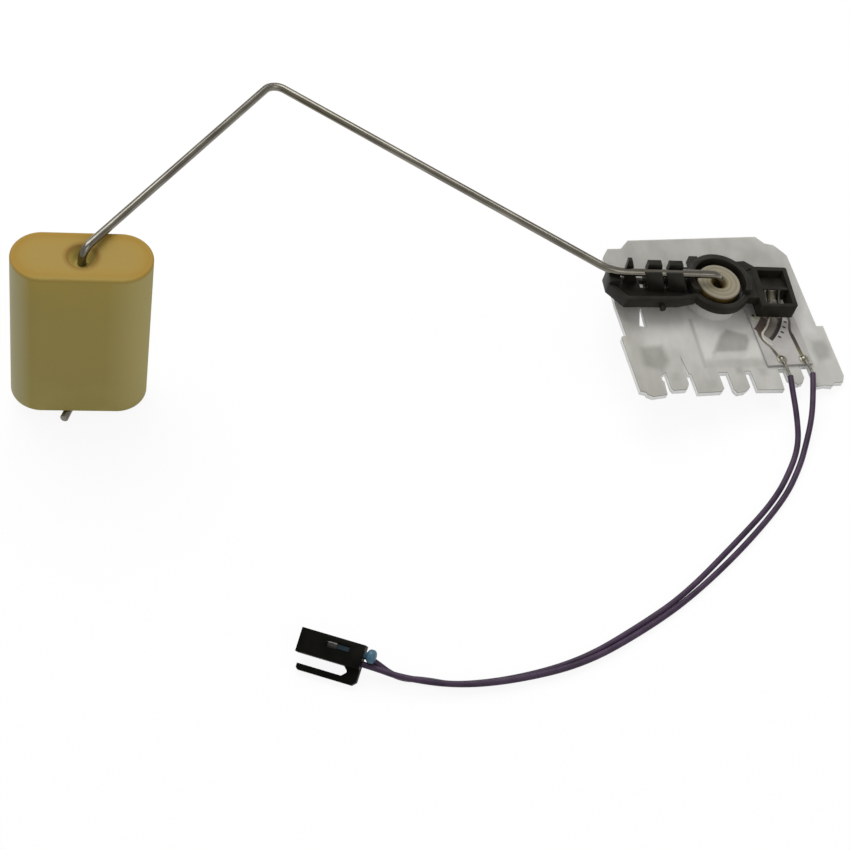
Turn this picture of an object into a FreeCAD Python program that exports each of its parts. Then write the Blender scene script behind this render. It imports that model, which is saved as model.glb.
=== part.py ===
import FreeCAD, Part
import Sketcher
import math
import os
import re

os.makedirs("parts", exist_ok=True)
doc = FreeCAD.newDocument("fuel_level_sender")
sheet = doc.addObject("Spreadsheet::Sheet", "sheet")

# Driving sizes in millimetres and degrees. The sender lies on its float, its plug and one corner
# of the plate, so the plate's frame (hub at its origin, plate's back at height 0) leans.
SIZES = dict(
    hub_x=72.35, hub_y=-4.93, lean_right=12.6, lean_back=1.5, plate_turn=13.09,
    plate_thickness=1.6, plate_left=-26.6, plate_right=27, plate_back=21.1, plate_front=-29.5,
    shoulder_drop=2.7, shoulder_left=9.8, shoulder_right=7, shoulder_slope=3.3, shoulder_step=2.4,
    ear_reach=1.9, ear_back=-10, ear_corner=3.0, tip_cut=1, tip_step=0.4,
    slot_depth=6, slot_rise=0.8, slot_1_left=-21.2, slot_1_right=-19.6, slot_3_left=-5.4,
    slot_3_right=-2.9, slot_4_left=1.8, slot_4_right=3.5, slot_5_left=11.3, slot_5_right=13.1,
    slot_6_left=17.6, slot_6_right=20.1, notch_apex=-18.2, notch_left=-15.9, notch_right=-12.9,
    notch_neck=1.2, window_left=-22.1, window_right=-19.8, window_back=-1.8, window_front=-8,
    window_slant=0.5, pedestal_radius=7, pedestal_top=5.8, rib_depth=1.2, boss_rise=0.25,
    boss_width=5.2, boss_back=-13.3, boss_front=-18.8, boss_slant=1.1,
    post_radius=4.6, spigot_radius=3.4, spigot_bottom=0.3, head_radius=5.72, head_bottom=6.9,
    head_top=9, head_bevel=0.35, mouth_radius=2, mouth_depth=1.4, press_gap=0.02, running_gap=0.05,
    card_left=8.5, card_right=21.2, card_back=9, card_front=-22.6, card_thickness=0.7,
    film_thickness=0.05, track_end=18, inner_track_in=13.6, inner_track_out=15.1,
    inner_track_start=-51, centre_track_in=15.2, centre_track_out=16, outer_track_in=16.4,
    outer_track_out=19.3, outer_track_start=-50, mark_radius=20.15, mark_length=0.9, mark_width=0.5,
    mark_first=-26, mark_step=-5.5, mark_count=4,
    left_pad_x=13, left_pad_y=-20.9, right_pad_x=19.2, right_pad_y=-21.1,
    trace_width=0.8, solder_radius=1.1, solder_height=0.75, core_radius=0.4, lead_radius=0.7,
    core_bend=2, core_run=1.5, core_rise=0.1, lead_lift=3, left_lead_start=-26.9,
    right_lead_x=19.5, right_lead_start=-26.4,
    arm_turn=-4.46, ring_radius=8.5, ring_inner=7, ring_bottom=6, ledge_top=6.7, ring_front_top=8.4,
    ring_back_top=9.8, box_left=10, box_right=20.1, box_front=-7.45, box_back=5.75, box_bottom=4.2,
    box_top=8.6, box_wall=1.2, box_floor=1, box_round=0.6, bar_front=-1.5, bar_back=-0.75,
    tray_left=-30.35, tray_front=-6.6, tray_back=2.2, tray_bottom=5.6, tray_top=7,
    tray_chamfer_x=3.9, tray_chamfer_y=4.8, tray_root=-7, tray_neck=-11.9, tray_taper=0.4,
    tray_wall=1, tray_wall_top=8.9, saddle_width=3, saddle_top=10.4,
    clip_1_left=-19.9, clip_2_left=-14.2, clip_foot=5.3, clip_crest=3.6, clip_lean=0.4,
    clip_front=2.2, clip_lip=0.6, clip_top=12.6, hook_shift=0.5, hook_width=4.5, hook_lean=2,
    tooth_front=1.1, tooth_back=2.7, tooth_top=13.4, rib_left=-25.6, rib_foot=3.9, rib_lean=0.5,
    rib_crest=1.1, rib_top=14.6, nub_radius=0.8, nub_x=-16.2, nub_level=6.2, nub_length=0.8,
    hole_width=1.5, hole_lead=0.3, hole_front=-1.1, hole_back=1.2,
    lug_left=-6.2, lug_right=-3.9, lug_back=8.7, lug_top=8.6, link_left=-8.4, link_top=7.6,
    stake_radius=0.6, stake_head=1, stake_drop=0.35, contact_thickness=0.2, contact_left=11.8,
    contact_right=17.6, finger_width=0.8, finger_first=12.9, finger_middle=14.5, finger_last=16.9,
    finger_tip=-5.8, track_gap=0.2,
    wire_radius=1.05, wire_height=11.6, wire_foot=0.8, hub_bend=3, elbow_x=-29.84, elbow_bend=11,
    peak_x=-109.67, peak_y=60.96, peak_bend=3.7, drop_x=-162.22, drop_y=1.69, drop_bend=3,
    leg_length=11, leg_bend=2.2, leg_turn=-112,
    float_lean=-4.74, float_tip=-0.73, float_turn=-3.78, float_width=34, float_depth=15.6,
    float_height=49.9, float_below=2.1, float_edge=0.5, bore_gap=0.05, dimple_radius=4.3,
    dimple_depth=3, dimple_floor=3.7, dimple_rim=0.9, leg_gap=0.1,
    plug_x=-28.96, plug_y=-100.97, plug_turn=-18.81, plug_roll=25, plug_length=15.7, plug_width=5.8,
    plug_height=3.4, latch_inner=8.2, latch_reach=9.7, latch_height=1.7,
    latch_end=0.9, latch_root=12.8, latch_round=1, port_width=1.5, port_bottom=0.4, port_top=2.1,
    far_port=2.05, near_port=4.25, terminal_start=1.2, terminal_end=12.4, terminal_gap=0.05,
    terminal_wall=0.2, terminal_mouth=5, plug_window_left=6.4, plug_window_right=12.2,
    lock_start=9, lock_bottom=2.1, lock_top=2.9, lock_neck_length=0.9, lock_head_length=2.1,
    lock_head_radius=1.7, lock_head_drop=0.3, lock_groove=2.2, lead_step=6.3, lead_arc_share=0.45,
)
for row, (alias, number) in enumerate(SIZES.items(), 1):
    sheet.set("A%d" % row, alias)
    sheet.set("B%d" % row, str(number))
    sheet.setAlias("B%d" % row, alias)
doc.recompute()


def tied(text):
    """An expression with each size named in it read from the sheet."""
    def full(word):
        return "sheet." + word.group() if word.group() in SIZES else word.group()
    return re.sub(r"[a-z][a-z_0-9]*", full, str(text))


def size(text):
    """The number that an expression of sizes gives now."""
    return float(sheet.evalExpression(tied(text)))


def turn(axis, degrees):
    return FreeCAD.Rotation(FreeCAD.Vector(*axis), degrees)


X_AXIS, Y_AXIS, Z_AXIS = (1, 0, 0), (0, 1, 0), (0, 0, 1)

# The three frames that the pieces are drawn in. The plate's lowest corner touches the surface.
head_turn = (turn(Y_AXIS, size("lean_right")) * turn(X_AXIS, -size("lean_back"))
             * turn(Z_AXIS, size("plate_turn")))
low_corner = FreeCAD.Vector(size("plate_right + ear_reach"), size("plate_front + ear_corner"), 0)
head = FreeCAD.Placement(
    FreeCAD.Vector(size("hub_x"), size("hub_y"), -head_turn.multVec(low_corner).z), head_turn)
arm = head * FreeCAD.Placement(FreeCAD.Vector(), turn(Z_AXIS, size("arm_turn")))
plug_turned = turn(Z_AXIS, size("plug_turn")) * turn(X_AXIS, size("plug_roll"))
plug = FreeCAD.Placement(
    FreeCAD.Vector(size("plug_x"), size("plug_y"),
                   size("latch_reach") * math.sin(math.radians(size("plug_roll")))), plug_turned)
parts = []


def new_body(name, placement):
    body = doc.addObject("PartDesign::Body", name)
    body.Label = name
    body.Placement = placement
    parts.append(body)
    return body


def new_sketch(body, role, offset):
    """A sketch on one of the body's own planes, moved along the plane's normal by offset."""
    sketch = body.newObject("Sketcher::SketchObject", "profile")
    plane = [item for item in body.Origin.OriginFeatures if item.Role == role][0]
    sketch.AttachmentSupport = [(plane, "")]
    sketch.MapMode = "FlatFace"
    sketch.setExpression("AttachmentOffset.Base.z", tied(offset))
    return sketch


def hold(sketch, kind, geometry, point, expression):
    """Bind one distance of a sketch, measured from its origin, to an expression."""
    number = sketch.addConstraint(
        Sketcher.Constraint(kind, -1, 1, geometry, point, size(expression)))
    sketch.setExpression("Constraints[%d]" % number, tied(expression))


def draw_outline(sketch, corners):
    """A closed outline of straight lines, each corner held at its two expressions."""
    spots = [FreeCAD.Vector(size(x), size(y), 0) for x, y in corners]
    first = sketch.GeometryCount
    count = len(corners)
    for index in range(count):
        sketch.addGeometry(Part.LineSegment(spots[index], spots[(index + 1) % count]), False)
    for index in range(count):
        after = first + (index + 1) % count
        sketch.addConstraint(Sketcher.Constraint("Coincident", first + index, 2, after, 1))
    for index, (x, y) in enumerate(corners):
        hold(sketch, "DistanceX", first + index, 1, x)
        hold(sketch, "DistanceY", first + index, 1, y)


def draw_circle(sketch, x, y, radius):
    centre = FreeCAD.Vector(size(x), size(y), 0)
    circle = sketch.addGeometry(
        Part.Circle(centre, FreeCAD.Vector(*Z_AXIS), size(radius)), False)
    number = sketch.addConstraint(Sketcher.Constraint("Radius", circle, size(radius)))
    sketch.setExpression("Constraints[%d]" % number, tied(radius))
    hold(sketch, "DistanceX", circle, 3, x)
    hold(sketch, "DistanceY", circle, 3, y)


def extrude(body, kind, sketch, length):
    """Pad or pocket a sketch along its plane's normal."""
    feature = body.newObject("PartDesign::" + kind, kind.lower())
    feature.Profile = sketch
    feature.setExpression("Length", tied(length))
    if kind == "Pocket":
        feature.Reversed = True
    sketch.Visibility = False
    doc.recompute()
    return feature


def slab(body, kind, bottom, top, corners, role="XY_Plane"):
    """Material, or a cut, between two levels inside an outline of corners."""
    sketch = new_sketch(body, role, bottom)
    draw_outline(sketch, corners)
    return extrude(body, kind, sketch, "(%s) - (%s)" % (top, bottom))


def disc(body, kind, bottom, top, x, y, radius, role="XY_Plane"):
    """Material, or a cut, between two levels inside a circle."""
    sketch = new_sketch(body, role, bottom)
    draw_circle(sketch, x, y, radius)
    return extrude(body, kind, sketch, "(%s) - (%s)" % (top, bottom))


def rectangle(left, right, front, back):
    return [(left, front), (right, front), (right, back), (left, back)]


def round_edges(body, radius, chosen):
    """Fillet the edges of the body that chosen accepts, by their middle point and direction."""
    doc.recompute()
    names = []
    for number, edge in enumerate(body.Tip.Shape.Edges, 1):
        if isinstance(edge.Curve, Part.Line):
            middle = (edge.Vertexes[0].Point + edge.Vertexes[1].Point) * 0.5
            if chosen(middle, edge.Curve.Direction):
                names.append("Edge%d" % number)
    base = body.Tip
    feature = body.newObject("PartDesign::Fillet", "fillet")
    feature.Base = (base, names)
    feature.setExpression("Radius", tied(radius))
    doc.recompute()


def solid_of(name, shape, placement):
    """A piece whose form code works out from the sheet."""
    feature = doc.addObject("Part::Feature", name)
    feature.Label = name
    feature.Shape = shape
    feature.Placement = placement
    parts.append(feature)
    return feature


def upright(direction):
    return abs(direction.z) > 0.99


# Plate: one moulding with clip fingers along its front edge, an ear on each side, a slanted window
# left of the hub, ribs behind, and the round pedestal that the pivot bush is pressed into.
def mounting_plate():
    body = new_body("mounting_plate", head)
    outer_right = "plate_right + ear_reach"
    outer_left = "plate_left - ear_reach"
    slot_end = "plate_front + slot_depth"
    high_end = "plate_front + slot_depth + slot_rise"
    right_side = [
        ("plate_right - shoulder_right", "plate_back"),
        ("plate_right - shoulder_right + 0.8 * shoulder_step", "plate_back - shoulder_step"),
        ("plate_right - shoulder_drop", "plate_back - shoulder_drop - tip_step"),
        ("plate_right - 0.3 * shoulder_step", "plate_back - 2.4 * shoulder_step"),
        ("plate_right", "plate_back - shoulder_right"), ("plate_right", "ear_back"),
        (outer_right, "ear_back"), (outer_right, "plate_front + ear_corner"),
        (outer_right + " - tip_cut", "plate_front + tip_cut"),
        ("plate_right - tip_cut - tip_step", "plate_front + tip_cut"),
        ("plate_right - 2 * tip_cut - tip_step", "plate_front"),
        ("slot_6_right + 2 * tip_cut + tip_step", "plate_front + tip_step"),
    ]
    short_finger = [
        ("slot_6_right", "plate_front"), ("slot_6_right", high_end), ("slot_6_left", high_end),
        ("slot_6_left", "plate_front + 3 * tip_cut"),
        ("slot_6_left - tip_cut", "plate_front + 1.4 * tip_cut"),
        ("slot_5_right + 2 * tip_cut", "plate_front + tip_cut"),
        ("slot_5_right", "plate_front + 3 * tip_cut"), ("slot_5_right", slot_end),
    ]
    middle_fingers = [
        ("slot_5_left", slot_end), ("slot_5_left - tip_step", "plate_front - tip_step"),
        ("slot_4_right", "plate_front"), ("slot_4_right", slot_end), ("slot_4_left", slot_end),
        ("slot_4_left", "plate_front + tip_cut"), ("slot_4_left - 2 * tip_cut", "plate_front - tip_step"),
        ("slot_3_right + 1.5 * tip_step", "plate_front - 1.5 * tip_step"),
        ("slot_3_right", "plate_front + tip_cut / 2"), ("slot_3_right", slot_end),
        ("slot_3_left", slot_end), ("slot_3_left", "plate_front + tip_cut"),
        ("slot_3_left - tip_cut", "plate_front"), ("notch_right", "plate_front"),
    ]
    notch = [
        ("notch_right", slot_end), ("notch_right - 1.5 * tip_step", slot_end),
        ("notch_right - notch_neck", "notch_apex"),
        ("notch_right - 1.3 * notch_neck", "plate_front + ear_corner"),
        ("notch_left + notch_neck / 2", "plate_front + 1.5 * tip_cut"),
        ("notch_left", "plate_front + 1.2 * tip_cut"),
    ]
    left_side = [
        ("slot_1_right + tip_step", "plate_front + 1.2 * tip_cut"),
        ("slot_1_right", "plate_front + 2 * tip_cut"), ("slot_1_right", high_end),
        ("slot_1_left", slot_end), ("slot_1_left", slot_end + " - 1.5 * tip_cut"),
        ("slot_1_left + tip_step", slot_end + " - 2 * tip_cut"), ("slot_1_left", "plate_front"),
        ("plate_left + 1.5 * tip_cut", "plate_front - tip_step"), ("plate_left", "plate_front + tip_step"),
        ("plate_left", "plate_front + tip_cut"), (outer_left + " + tip_step", "plate_front + 1.5 * tip_cut"),
        (outer_left + " + tip_step", "ear_back - tip_cut"),
        (outer_left + " + 2 * tip_step", "ear_back - tip_step"),
        ("plate_left", "ear_back - tip_step"), ("plate_left", "0"),
        ("plate_left + 1.3 * tip_cut", "plate_back - 2 * shoulder_drop"),
        ("plate_left + shoulder_slope", "plate_back - shoulder_drop"),
        ("plate_left + shoulder_left - shoulder_drop", "plate_back - shoulder_drop"),
        ("plate_left + shoulder_left", "plate_back"),
    ]
    slab(body, "Pad", "0", "plate_thickness",
         right_side + short_finger + middle_fingers + notch + left_side)
    slab(body, "Pocket", "0", "plate_thickness", [
        ("window_right - window_slant", "window_back"), ("window_right", "window_back"),
        ("window_right - window_slant", "window_front"), ("window_left", "window_front + window_slant")])
    disc(body, "Pad", "plate_thickness", "pedestal_top", "0", "0", "pedestal_radius")
    slab(body, "Pad", "-rib_depth", "0", [
        ("-head_radius", "-post_radius"), ("pedestal_radius", "-post_radius"),
        ("head_radius", "-2 * post_radius"), ("pedestal_radius", "-2.7 * post_radius"),
        ("spigot_radius", "-2.5 * pedestal_radius"), ("-spigot_radius", "-2.5 * pedestal_radius"),
        ("-post_radius", "-2 * post_radius")])
    slab(body, "Pad", "-rib_depth / 2", "0", rectangle(
        "-pedestal_radius - plate_thickness / 2", "-pedestal_radius",
        "-2.9 * pedestal_radius", "-post_radius"))
    for left in ("plate_left + post_radius", "plate_right - spigot_radius"):
        slab(body, "Pad", "-boss_rise", "0", [
            (left, "boss_back"), (left + " + boss_width", "boss_back"),
            (left + " + boss_width - boss_slant", "boss_front"), (left + " - boss_slant", "boss_front")])
    disc(body, "Pocket", "spigot_bottom", "pedestal_top", "0", "0", "spigot_radius + press_gap")
    return body


# Bush: a turned post with a spigot in the pedestal and a head over the carrier's ledge. The wire's
# foot turns in its blind bore.
def pivot_bush():
    body = new_body("pivot_bush", head)
    sketch = new_sketch(body, "XZ_Plane", "0")
    draw_outline(sketch, [
        ("0", "spigot_bottom"), ("spigot_radius", "spigot_bottom"),
        ("spigot_radius", "pedestal_top"), ("post_radius", "pedestal_top"),
        ("post_radius", "head_bottom"), ("head_radius", "head_bottom"),
        ("head_radius", "head_top - head_bevel"), ("head_radius - head_bevel", "head_top"),
        ("mouth_radius", "head_top"), ("wire_radius + running_gap", "head_top - mouth_depth"),
        ("wire_radius + running_gap", "wire_foot - running_gap"), ("0", "wire_foot - running_gap")])
    turned = body.newObject("PartDesign::Revolution", "turned")
    turned.Profile = sketch
    turned.ReferenceAxis = (sketch, ["V_Axis"])
    turned.Angle = 360
    sketch.Visibility = False
    return body


# Card: a ceramic blank on the plate's face with its printed tracks, traces and trim marks.
def resistor_card():
    body = new_body("resistor_card", head)
    slab(body, "Pad", "plate_thickness", "plate_thickness + card_thickness",
         rectangle("card_left", "card_right", "card_front", "card_back"))
    return body


def printed_arc(name, inner, outer, start):
    """A printed arc about the hub, cut from two sectors."""
    sectors = []
    for part_name, radius in (("sector", outer), ("core", inner)):
        sector = doc.addObject("Part::Cylinder", name + "_" + part_name)
        sector.setExpression("Radius", tied(radius))
        sector.setExpression("Height", tied("film_thickness"))
        sector.setExpression("Angle", tied("track_end - (%s)" % start))
        sectors.append(sector)
    arc = doc.addObject("Part::Cut", name)
    arc.Label = name
    arc.Base, arc.Tool = sectors
    level = FreeCAD.Vector(0, 0, size("plate_thickness + card_thickness"))
    arc.Placement = head * FreeCAD.Placement(level, turn(Z_AXIS, size(start)))
    parts.append(arc)


def trim_marks():
    body = new_body("trim_marks", head)
    level = "plate_thickness + card_thickness"
    for number in range(int(size("mark_count"))):
        angle = "(mark_first + %d * mark_step) * 1 deg" % number
        along = "mark_radius * cos(%s) %s mark_length / 2 * cos(%s) %s mark_width / 2 * sin(%s)"
        across = "mark_radius * sin(%s) %s mark_length / 2 * sin(%s) %s mark_width / 2 * cos(%s)"
        corners = []
        for radial, side in (("-", "-"), ("+", "-"), ("+", "+"), ("-", "+")):
            other = "-" if side == "+" else "+"
            corners.append((along % (angle, radial, angle, other, angle),
                            across % (angle, radial, angle, side, angle)))
        slab(body, "Pad", level, level + " + film_thickness", corners)
    return body


def trace(name, points, width):
    """A printed conductor: a strip of one width from point to point."""
    body = new_body(name, head)
    level = "plate_thickness + card_thickness"
    half = "(%s) / 2" % width
    left = [("%s - %s" % (x, half), y) for x, y in points]
    right = [("%s + %s" % (x, half), y) for x, y in reversed(points)]
    slab(body, "Pad", level, level + " + film_thickness", left + right)
    return body


def traces():
    trace("left_trace", [("left_pad_x - 2.9", "-12.4"), ("left_pad_x - 2.7", "-14.8"),
                         ("left_pad_x - 1.3", "-16.7"), ("left_pad_x - 0.9", "-19.3"),
                         ("left_pad_x", "left_pad_y")], "trace_width")
    trace("right_trace", [("right_pad_x + 1", "-6.5"), ("right_pad_x + 0.8", "-9"),
                          ("right_pad_x - 0.4", "-13"), ("right_pad_x - 0.5", "-17"),
                          ("right_pad_x", "right_pad_y")], "trace_width")


def solder_joint(name, x, y):
    """A low dome of solder on its pad, with the bared core lying in it."""
    radius, height = size("solder_radius"), size("solder_height")
    ball = (radius ** 2 + height ** 2) / (2 * height)
    level = size("plate_thickness + card_thickness + film_thickness")
    centre = FreeCAD.Vector(size(x), size(y), level + height - ball)
    over = Part.makeBox(4 * ball, 4 * ball, 2 * ball,
                        FreeCAD.Vector(centre.x - 2 * ball, centre.y - 2 * ball, level))
    solid_of(name, Part.makeSphere(ball, centre).common(over), head)


def smooth_path(points, radii):
    """Straight runs through points, joined by tangent arcs of the given radii at the inner ones."""
    edges = []
    start = points[0]
    for index in range(1, len(points) - 1):
        corner = points[index]
        back = (points[index - 1] - corner).normalize()
        ahead = (points[index + 1] - corner).normalize()
        half = back.getAngle(ahead) / 2
        reach = radii[index - 1] / math.tan(half)
        inner = (back + ahead).normalize()
        bow = corner + inner * (radii[index - 1] / math.sin(half) - radii[index - 1])
        arc_start = corner + back * reach
        arc_end = corner + ahead * reach
        edges.append(Part.LineSegment(start, arc_start).toShape())
        edges.append(Part.Arc(arc_start, bow, arc_end).toShape())
        start = arc_end
    edges.append(Part.LineSegment(start, points[-1]).toShape())
    return Part.Wire(edges)


def tube_along(path, radius):
    """A round section drawn along a path."""
    first = path.Edges[0]
    way = first.tangentAt(first.FirstParameter)
    section = Part.Wire([Part.makeCircle(radius, path.Edges[0].Vertexes[0].Point, way)])
    return path.makePipeShell([section], True, True)


# Carrier: a moulded rotor that turns on the bush. Its tray holds the wire in two snap clips, and
# the open box on the other side holds the wiper.
def wiper_carrier():
    body = new_body("wiper_carrier", arm)
    disc(body, "Pad", "ring_bottom", "ring_back_top", "0", "0", "ring_radius")
    slab(body, "Pocket", "ring_front_top", "ring_back_top + 1",
         rectangle("-ring_radius - 1", "ring_radius + 1", "-ring_radius - 1", "-spigot_radius"))
    tray_side = [
        ("tray_root", "-ring_inner + 2 * tray_wall"), ("tray_neck", "tray_front + tray_taper"),
        ("tray_left + tray_chamfer_x", "tray_front"), ("tray_left", "tray_front + tray_chamfer_y")]
    slab(body, "Pad", "tray_bottom", "tray_top",
         tray_side + [("tray_left", "tray_back"), ("tray_root", "tray_back")])
    slab(body, "Pad", "tray_top", "tray_wall_top", tray_side + [
        ("tray_left + tray_wall", "tray_front + tray_chamfer_y + tray_wall / 2"),
        ("tray_left + tray_chamfer_x + tray_wall / 2", "tray_front + tray_wall"),
        ("tray_neck", "tray_front + tray_taper + tray_wall"),
        ("tray_root", "-ring_inner + 3 * tray_wall")])
    slab(body, "Pad", "tray_top", "saddle_top", rectangle(
        "tray_left", "tray_left + saddle_width", "tray_front + tray_chamfer_y", "tray_back"))
    for left in ("clip_1_left", "clip_2_left"):
        hook = left + " + hook_shift"
        slab(body, "Pad", "clip_lip", "clip_front", [
            (hook, "tray_top"), (hook + " + hook_width", "tray_top"),
            (hook + " + hook_width - hook_lean", "clip_top"), (hook + " - hook_lean", "clip_top")],
            "XZ_Plane")
        slab(body, "Pad", "-tooth_back", "clip_lip", [
            (left, "tray_top"), (left + " + clip_foot", "tray_top"),
            (left + " + clip_crest - clip_lean", "tooth_top"), (left + " - clip_lean", "tooth_top")],
            "XZ_Plane")
    slab(body, "Pad", "-tray_back", "-clip_lip", [
        ("rib_left", "tray_top"), ("rib_left + rib_foot", "tray_top"),
        ("rib_left + rib_crest - rib_lean", "rib_top"), ("rib_left - rib_lean", "rib_top")], "XZ_Plane")
    seat = "wire_radius + press_gap"
    slab(body, "Pocket", "tray_left - 1", "-ring_radius", rectangle(
        "-clip_lip", "tooth_front", "wire_height", "rib_top + 1"), "YZ_Plane")
    slab(body, "Pocket", "tray_left - 1", "-ring_radius", [
        ("-clip_front - 1", "tray_wall_top"), ("-clip_front", "tray_wall_top"),
        ("-wire_radius - press_gap", "clip_top"), ("-clip_front - 1", "clip_top + 1")], "YZ_Plane")
    disc(body, "Pocket", "tray_left - 1", "-ring_radius", "0", "wire_height", seat, "YZ_Plane")
    for left in ("clip_1_left", "clip_2_left"):
        slab(body, "Pocket", "tray_bottom", "tray_top", rectangle(
            left + " + hook_shift - hole_lead - hole_width", left + " + hook_shift - hole_lead",
            "hole_front", "hole_back"))
    disc(body, "Pad", "-tray_front - tray_taper", "-tray_front + nub_length",
         "nub_x", "nub_level", "nub_radius", "XZ_Plane")
    slab(body, "Pad", "ring_bottom", "lug_top",
         rectangle("lug_left", "lug_right", "spigot_radius", "lug_back"))
    slab(body, "Pad", "ring_bottom", "link_top",
         rectangle("link_left", "-post_radius", "tray_wall", "head_radius"))
    slab(body, "Pad", "ring_bottom", "ring_front_top", rectangle(
        "head_radius", "box_left + box_wall / 2", "-post_radius", "post_radius"))
    slab(body, "Pad", "ring_bottom", "box_top", [
        ("post_radius", "ring_inner"), ("box_left - box_wall", "ring_radius - 0.9"),
        ("box_left + box_wall", "box_back"), ("ring_inner", "spigot_radius")])
    slab(body, "Pad", "box_bottom", "box_top",
         rectangle("box_left", "box_right", "box_front", "box_back"))
    middle = (size("box_left") + size("box_right")) / 2
    corner = (size("box_right") - size("box_left")) / 2
    round_edges(body, "box_round", lambda point, way: upright(way)
                and abs(abs(point.x - middle) - corner) < 0.1 and point.x > middle)
    inner_left, inner_right = "box_left + 1.4 * box_wall", "box_right - box_wall"
    slab(body, "Pocket", "box_bottom + box_floor", "box_top", rectangle(
        inner_left, inner_right, "bar_back", "box_back - box_wall"))
    slab(body, "Pocket", "box_bottom", "box_top", rectangle(
        inner_left, inner_right, "box_front + 0.8 * box_wall", "bar_front"))
    disc(body, "Pocket", "ledge_top", "ring_back_top", "0", "0", "ring_inner")
    disc(body, "Pocket", "ring_bottom", "ledge_top", "0", "0", "post_radius + running_gap")
    for x in ("finger_first + stake_head", "finger_last - stake_head"):
        disc(body, "Pad", "box_bottom - contact_thickness - stake_drop", "box_bottom",
             x, "(bar_back + box_back) / 2", "stake_radius")
    return body


# Wiper: one spring-bronze sheet staked under the box, with three fingers down to the tracks.
def wiper_contact():
    body = new_body("wiper_contact", arm)
    top = "box_bottom"
    under = "box_bottom - contact_thickness"
    slab(body, "Pad", under, top, rectangle(
        "contact_left", "contact_right", "bar_back", "box_back - box_wall"))
    low = "plate_thickness + card_thickness + film_thickness + track_gap"
    for centre in ("finger_first", "finger_middle", "finger_last"):
        slab(body, "Pad", centre + " - finger_width / 2", centre + " + finger_width / 2", [
            ("bar_back + 0.1", under), ("bar_back", under), ("finger_tip + 0.4", low),
            ("finger_tip - 0.3", low), ("finger_tip - 1", low + " + 0.5"),
            ("finger_tip - 1", low + " + 0.5 + 1.4 * contact_thickness"),
            ("finger_tip - 0.3", low + " + contact_thickness"),
            ("finger_tip + 0.5", low + " + contact_thickness"),
            ("bar_back", top), ("bar_back + 0.1", top)], "YZ_Plane")
    for x in ("finger_first + stake_head", "finger_last - stake_head"):
        disc(body, "Pocket", under, top, x, "(bar_back + box_back) / 2", "stake_radius + press_gap")
    return body


# Wire: down into the bush at one end, bent at the tray, at its peak and above the float, with a
# leg bent under the float.
def float_frame():
    """The float's own frame, with its origin where the wire turns down into it."""
    lean = (turn(Y_AXIS, size("float_lean")) * turn(X_AXIS, size("float_tip"))
            * turn(Z_AXIS, size("float_turn")))
    corner = FreeCAD.Vector(size("drop_x"), size("drop_y"), size("wire_height"))
    return FreeCAD.Placement(corner, lean)


def float_arm():
    height = size("wire_height")
    frame = float_frame()
    leg_level = -size("float_below + float_height + leg_gap + wire_radius")
    heading = math.radians(size("leg_turn"))
    reach = size("leg_length - wire_radius")
    tip = FreeCAD.Vector(reach * math.cos(heading), reach * math.sin(heading), leg_level)
    points = [
        FreeCAD.Vector(0, 0, size("wire_foot")),
        FreeCAD.Vector(0, 0, height),
        FreeCAD.Vector(size("elbow_x"), 0, height),
        FreeCAD.Vector(size("peak_x"), size("peak_y"), height),
        frame.Base,
        frame.multVec(FreeCAD.Vector(0, 0, leg_level)),
        frame.multVec(tip),
    ]
    radii = [size(name) for name in
             ("hub_bend", "elbow_bend", "peak_bend", "drop_bend", "leg_bend")]
    wire = tube_along(smooth_path(points, radii), size("wire_radius"))
    solid_of("float_arm", wire, arm)


def foam_float():
    body = new_body("foam_float", arm * float_frame())
    top = "-float_below"
    bottom = "-float_below - float_height"
    sketch = new_sketch(body, "XY_Plane", bottom)
    half = size("float_depth") / 2
    flat = (size("float_width") - size("float_depth")) / 2
    up, down = FreeCAD.Vector(0, half, 0), FreeCAD.Vector(0, -half, 0)
    right, left = FreeCAD.Vector(flat, 0, 0), FreeCAD.Vector(-flat, 0, 0)
    normal = FreeCAD.Vector(*Z_AXIS)
    sketch.addGeometry(Part.LineSegment(left + down, right + down), False)
    sketch.addGeometry(Part.ArcOfCircle(
        Part.Circle(right, normal, half), -math.pi / 2, math.pi / 2), False)
    sketch.addGeometry(Part.LineSegment(right + up, left + up), False)
    sketch.addGeometry(Part.ArcOfCircle(
        Part.Circle(left, normal, half), math.pi / 2, 3 * math.pi / 2), False)
    for first, second in ((0, 1), (1, 2), (2, 3), (3, 0)):
        sketch.addConstraint(Sketcher.Constraint("Tangent", first, 2, second, 1))
    sketch.addConstraint(Sketcher.Constraint("Horizontal", 0))
    for arc, side in ((1, "+"), (3, "-")):
        hold(sketch, "DistanceX", arc, 3, side + "(float_width - float_depth) / 2")
    hold(sketch, "DistanceY", 1, 3, "0")
    number = sketch.addConstraint(Sketcher.Constraint("Radius", 1, half))
    sketch.setExpression("Constraints[%d]" % number, tied("float_depth / 2"))
    extrude(body, "Pad", sketch, "float_height")
    block = body.Tip
    names = ["Edge%d" % number for number, edge in enumerate(block.Shape.Edges, 1)
             if abs(edge.Vertexes[0].Z - edge.Vertexes[1].Z) < 0.001]
    rim = body.newObject("PartDesign::Fillet", "rim")
    rim.Base = (block, names)
    rim.setExpression("Radius", tied("float_edge"))
    doc.recompute()
    funnel = new_sketch(body, "XZ_Plane", "0")
    draw_outline(funnel, [
        ("0", bottom + " - 1"), ("wire_radius + bore_gap", bottom + " - 1"),
        ("wire_radius + bore_gap", "-float_below - dimple_depth"),
        ("dimple_floor", "-float_below - dimple_depth + dimple_rim"),
        ("dimple_radius", top), ("dimple_radius", "1"), ("0", "1")])
    groove = body.newObject("PartDesign::Groove", "bore")
    groove.Profile = funnel
    groove.ReferenceAxis = (funnel, ["V_Axis"])
    groove.Angle = 360
    funnel.Visibility = False
    return body


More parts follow.
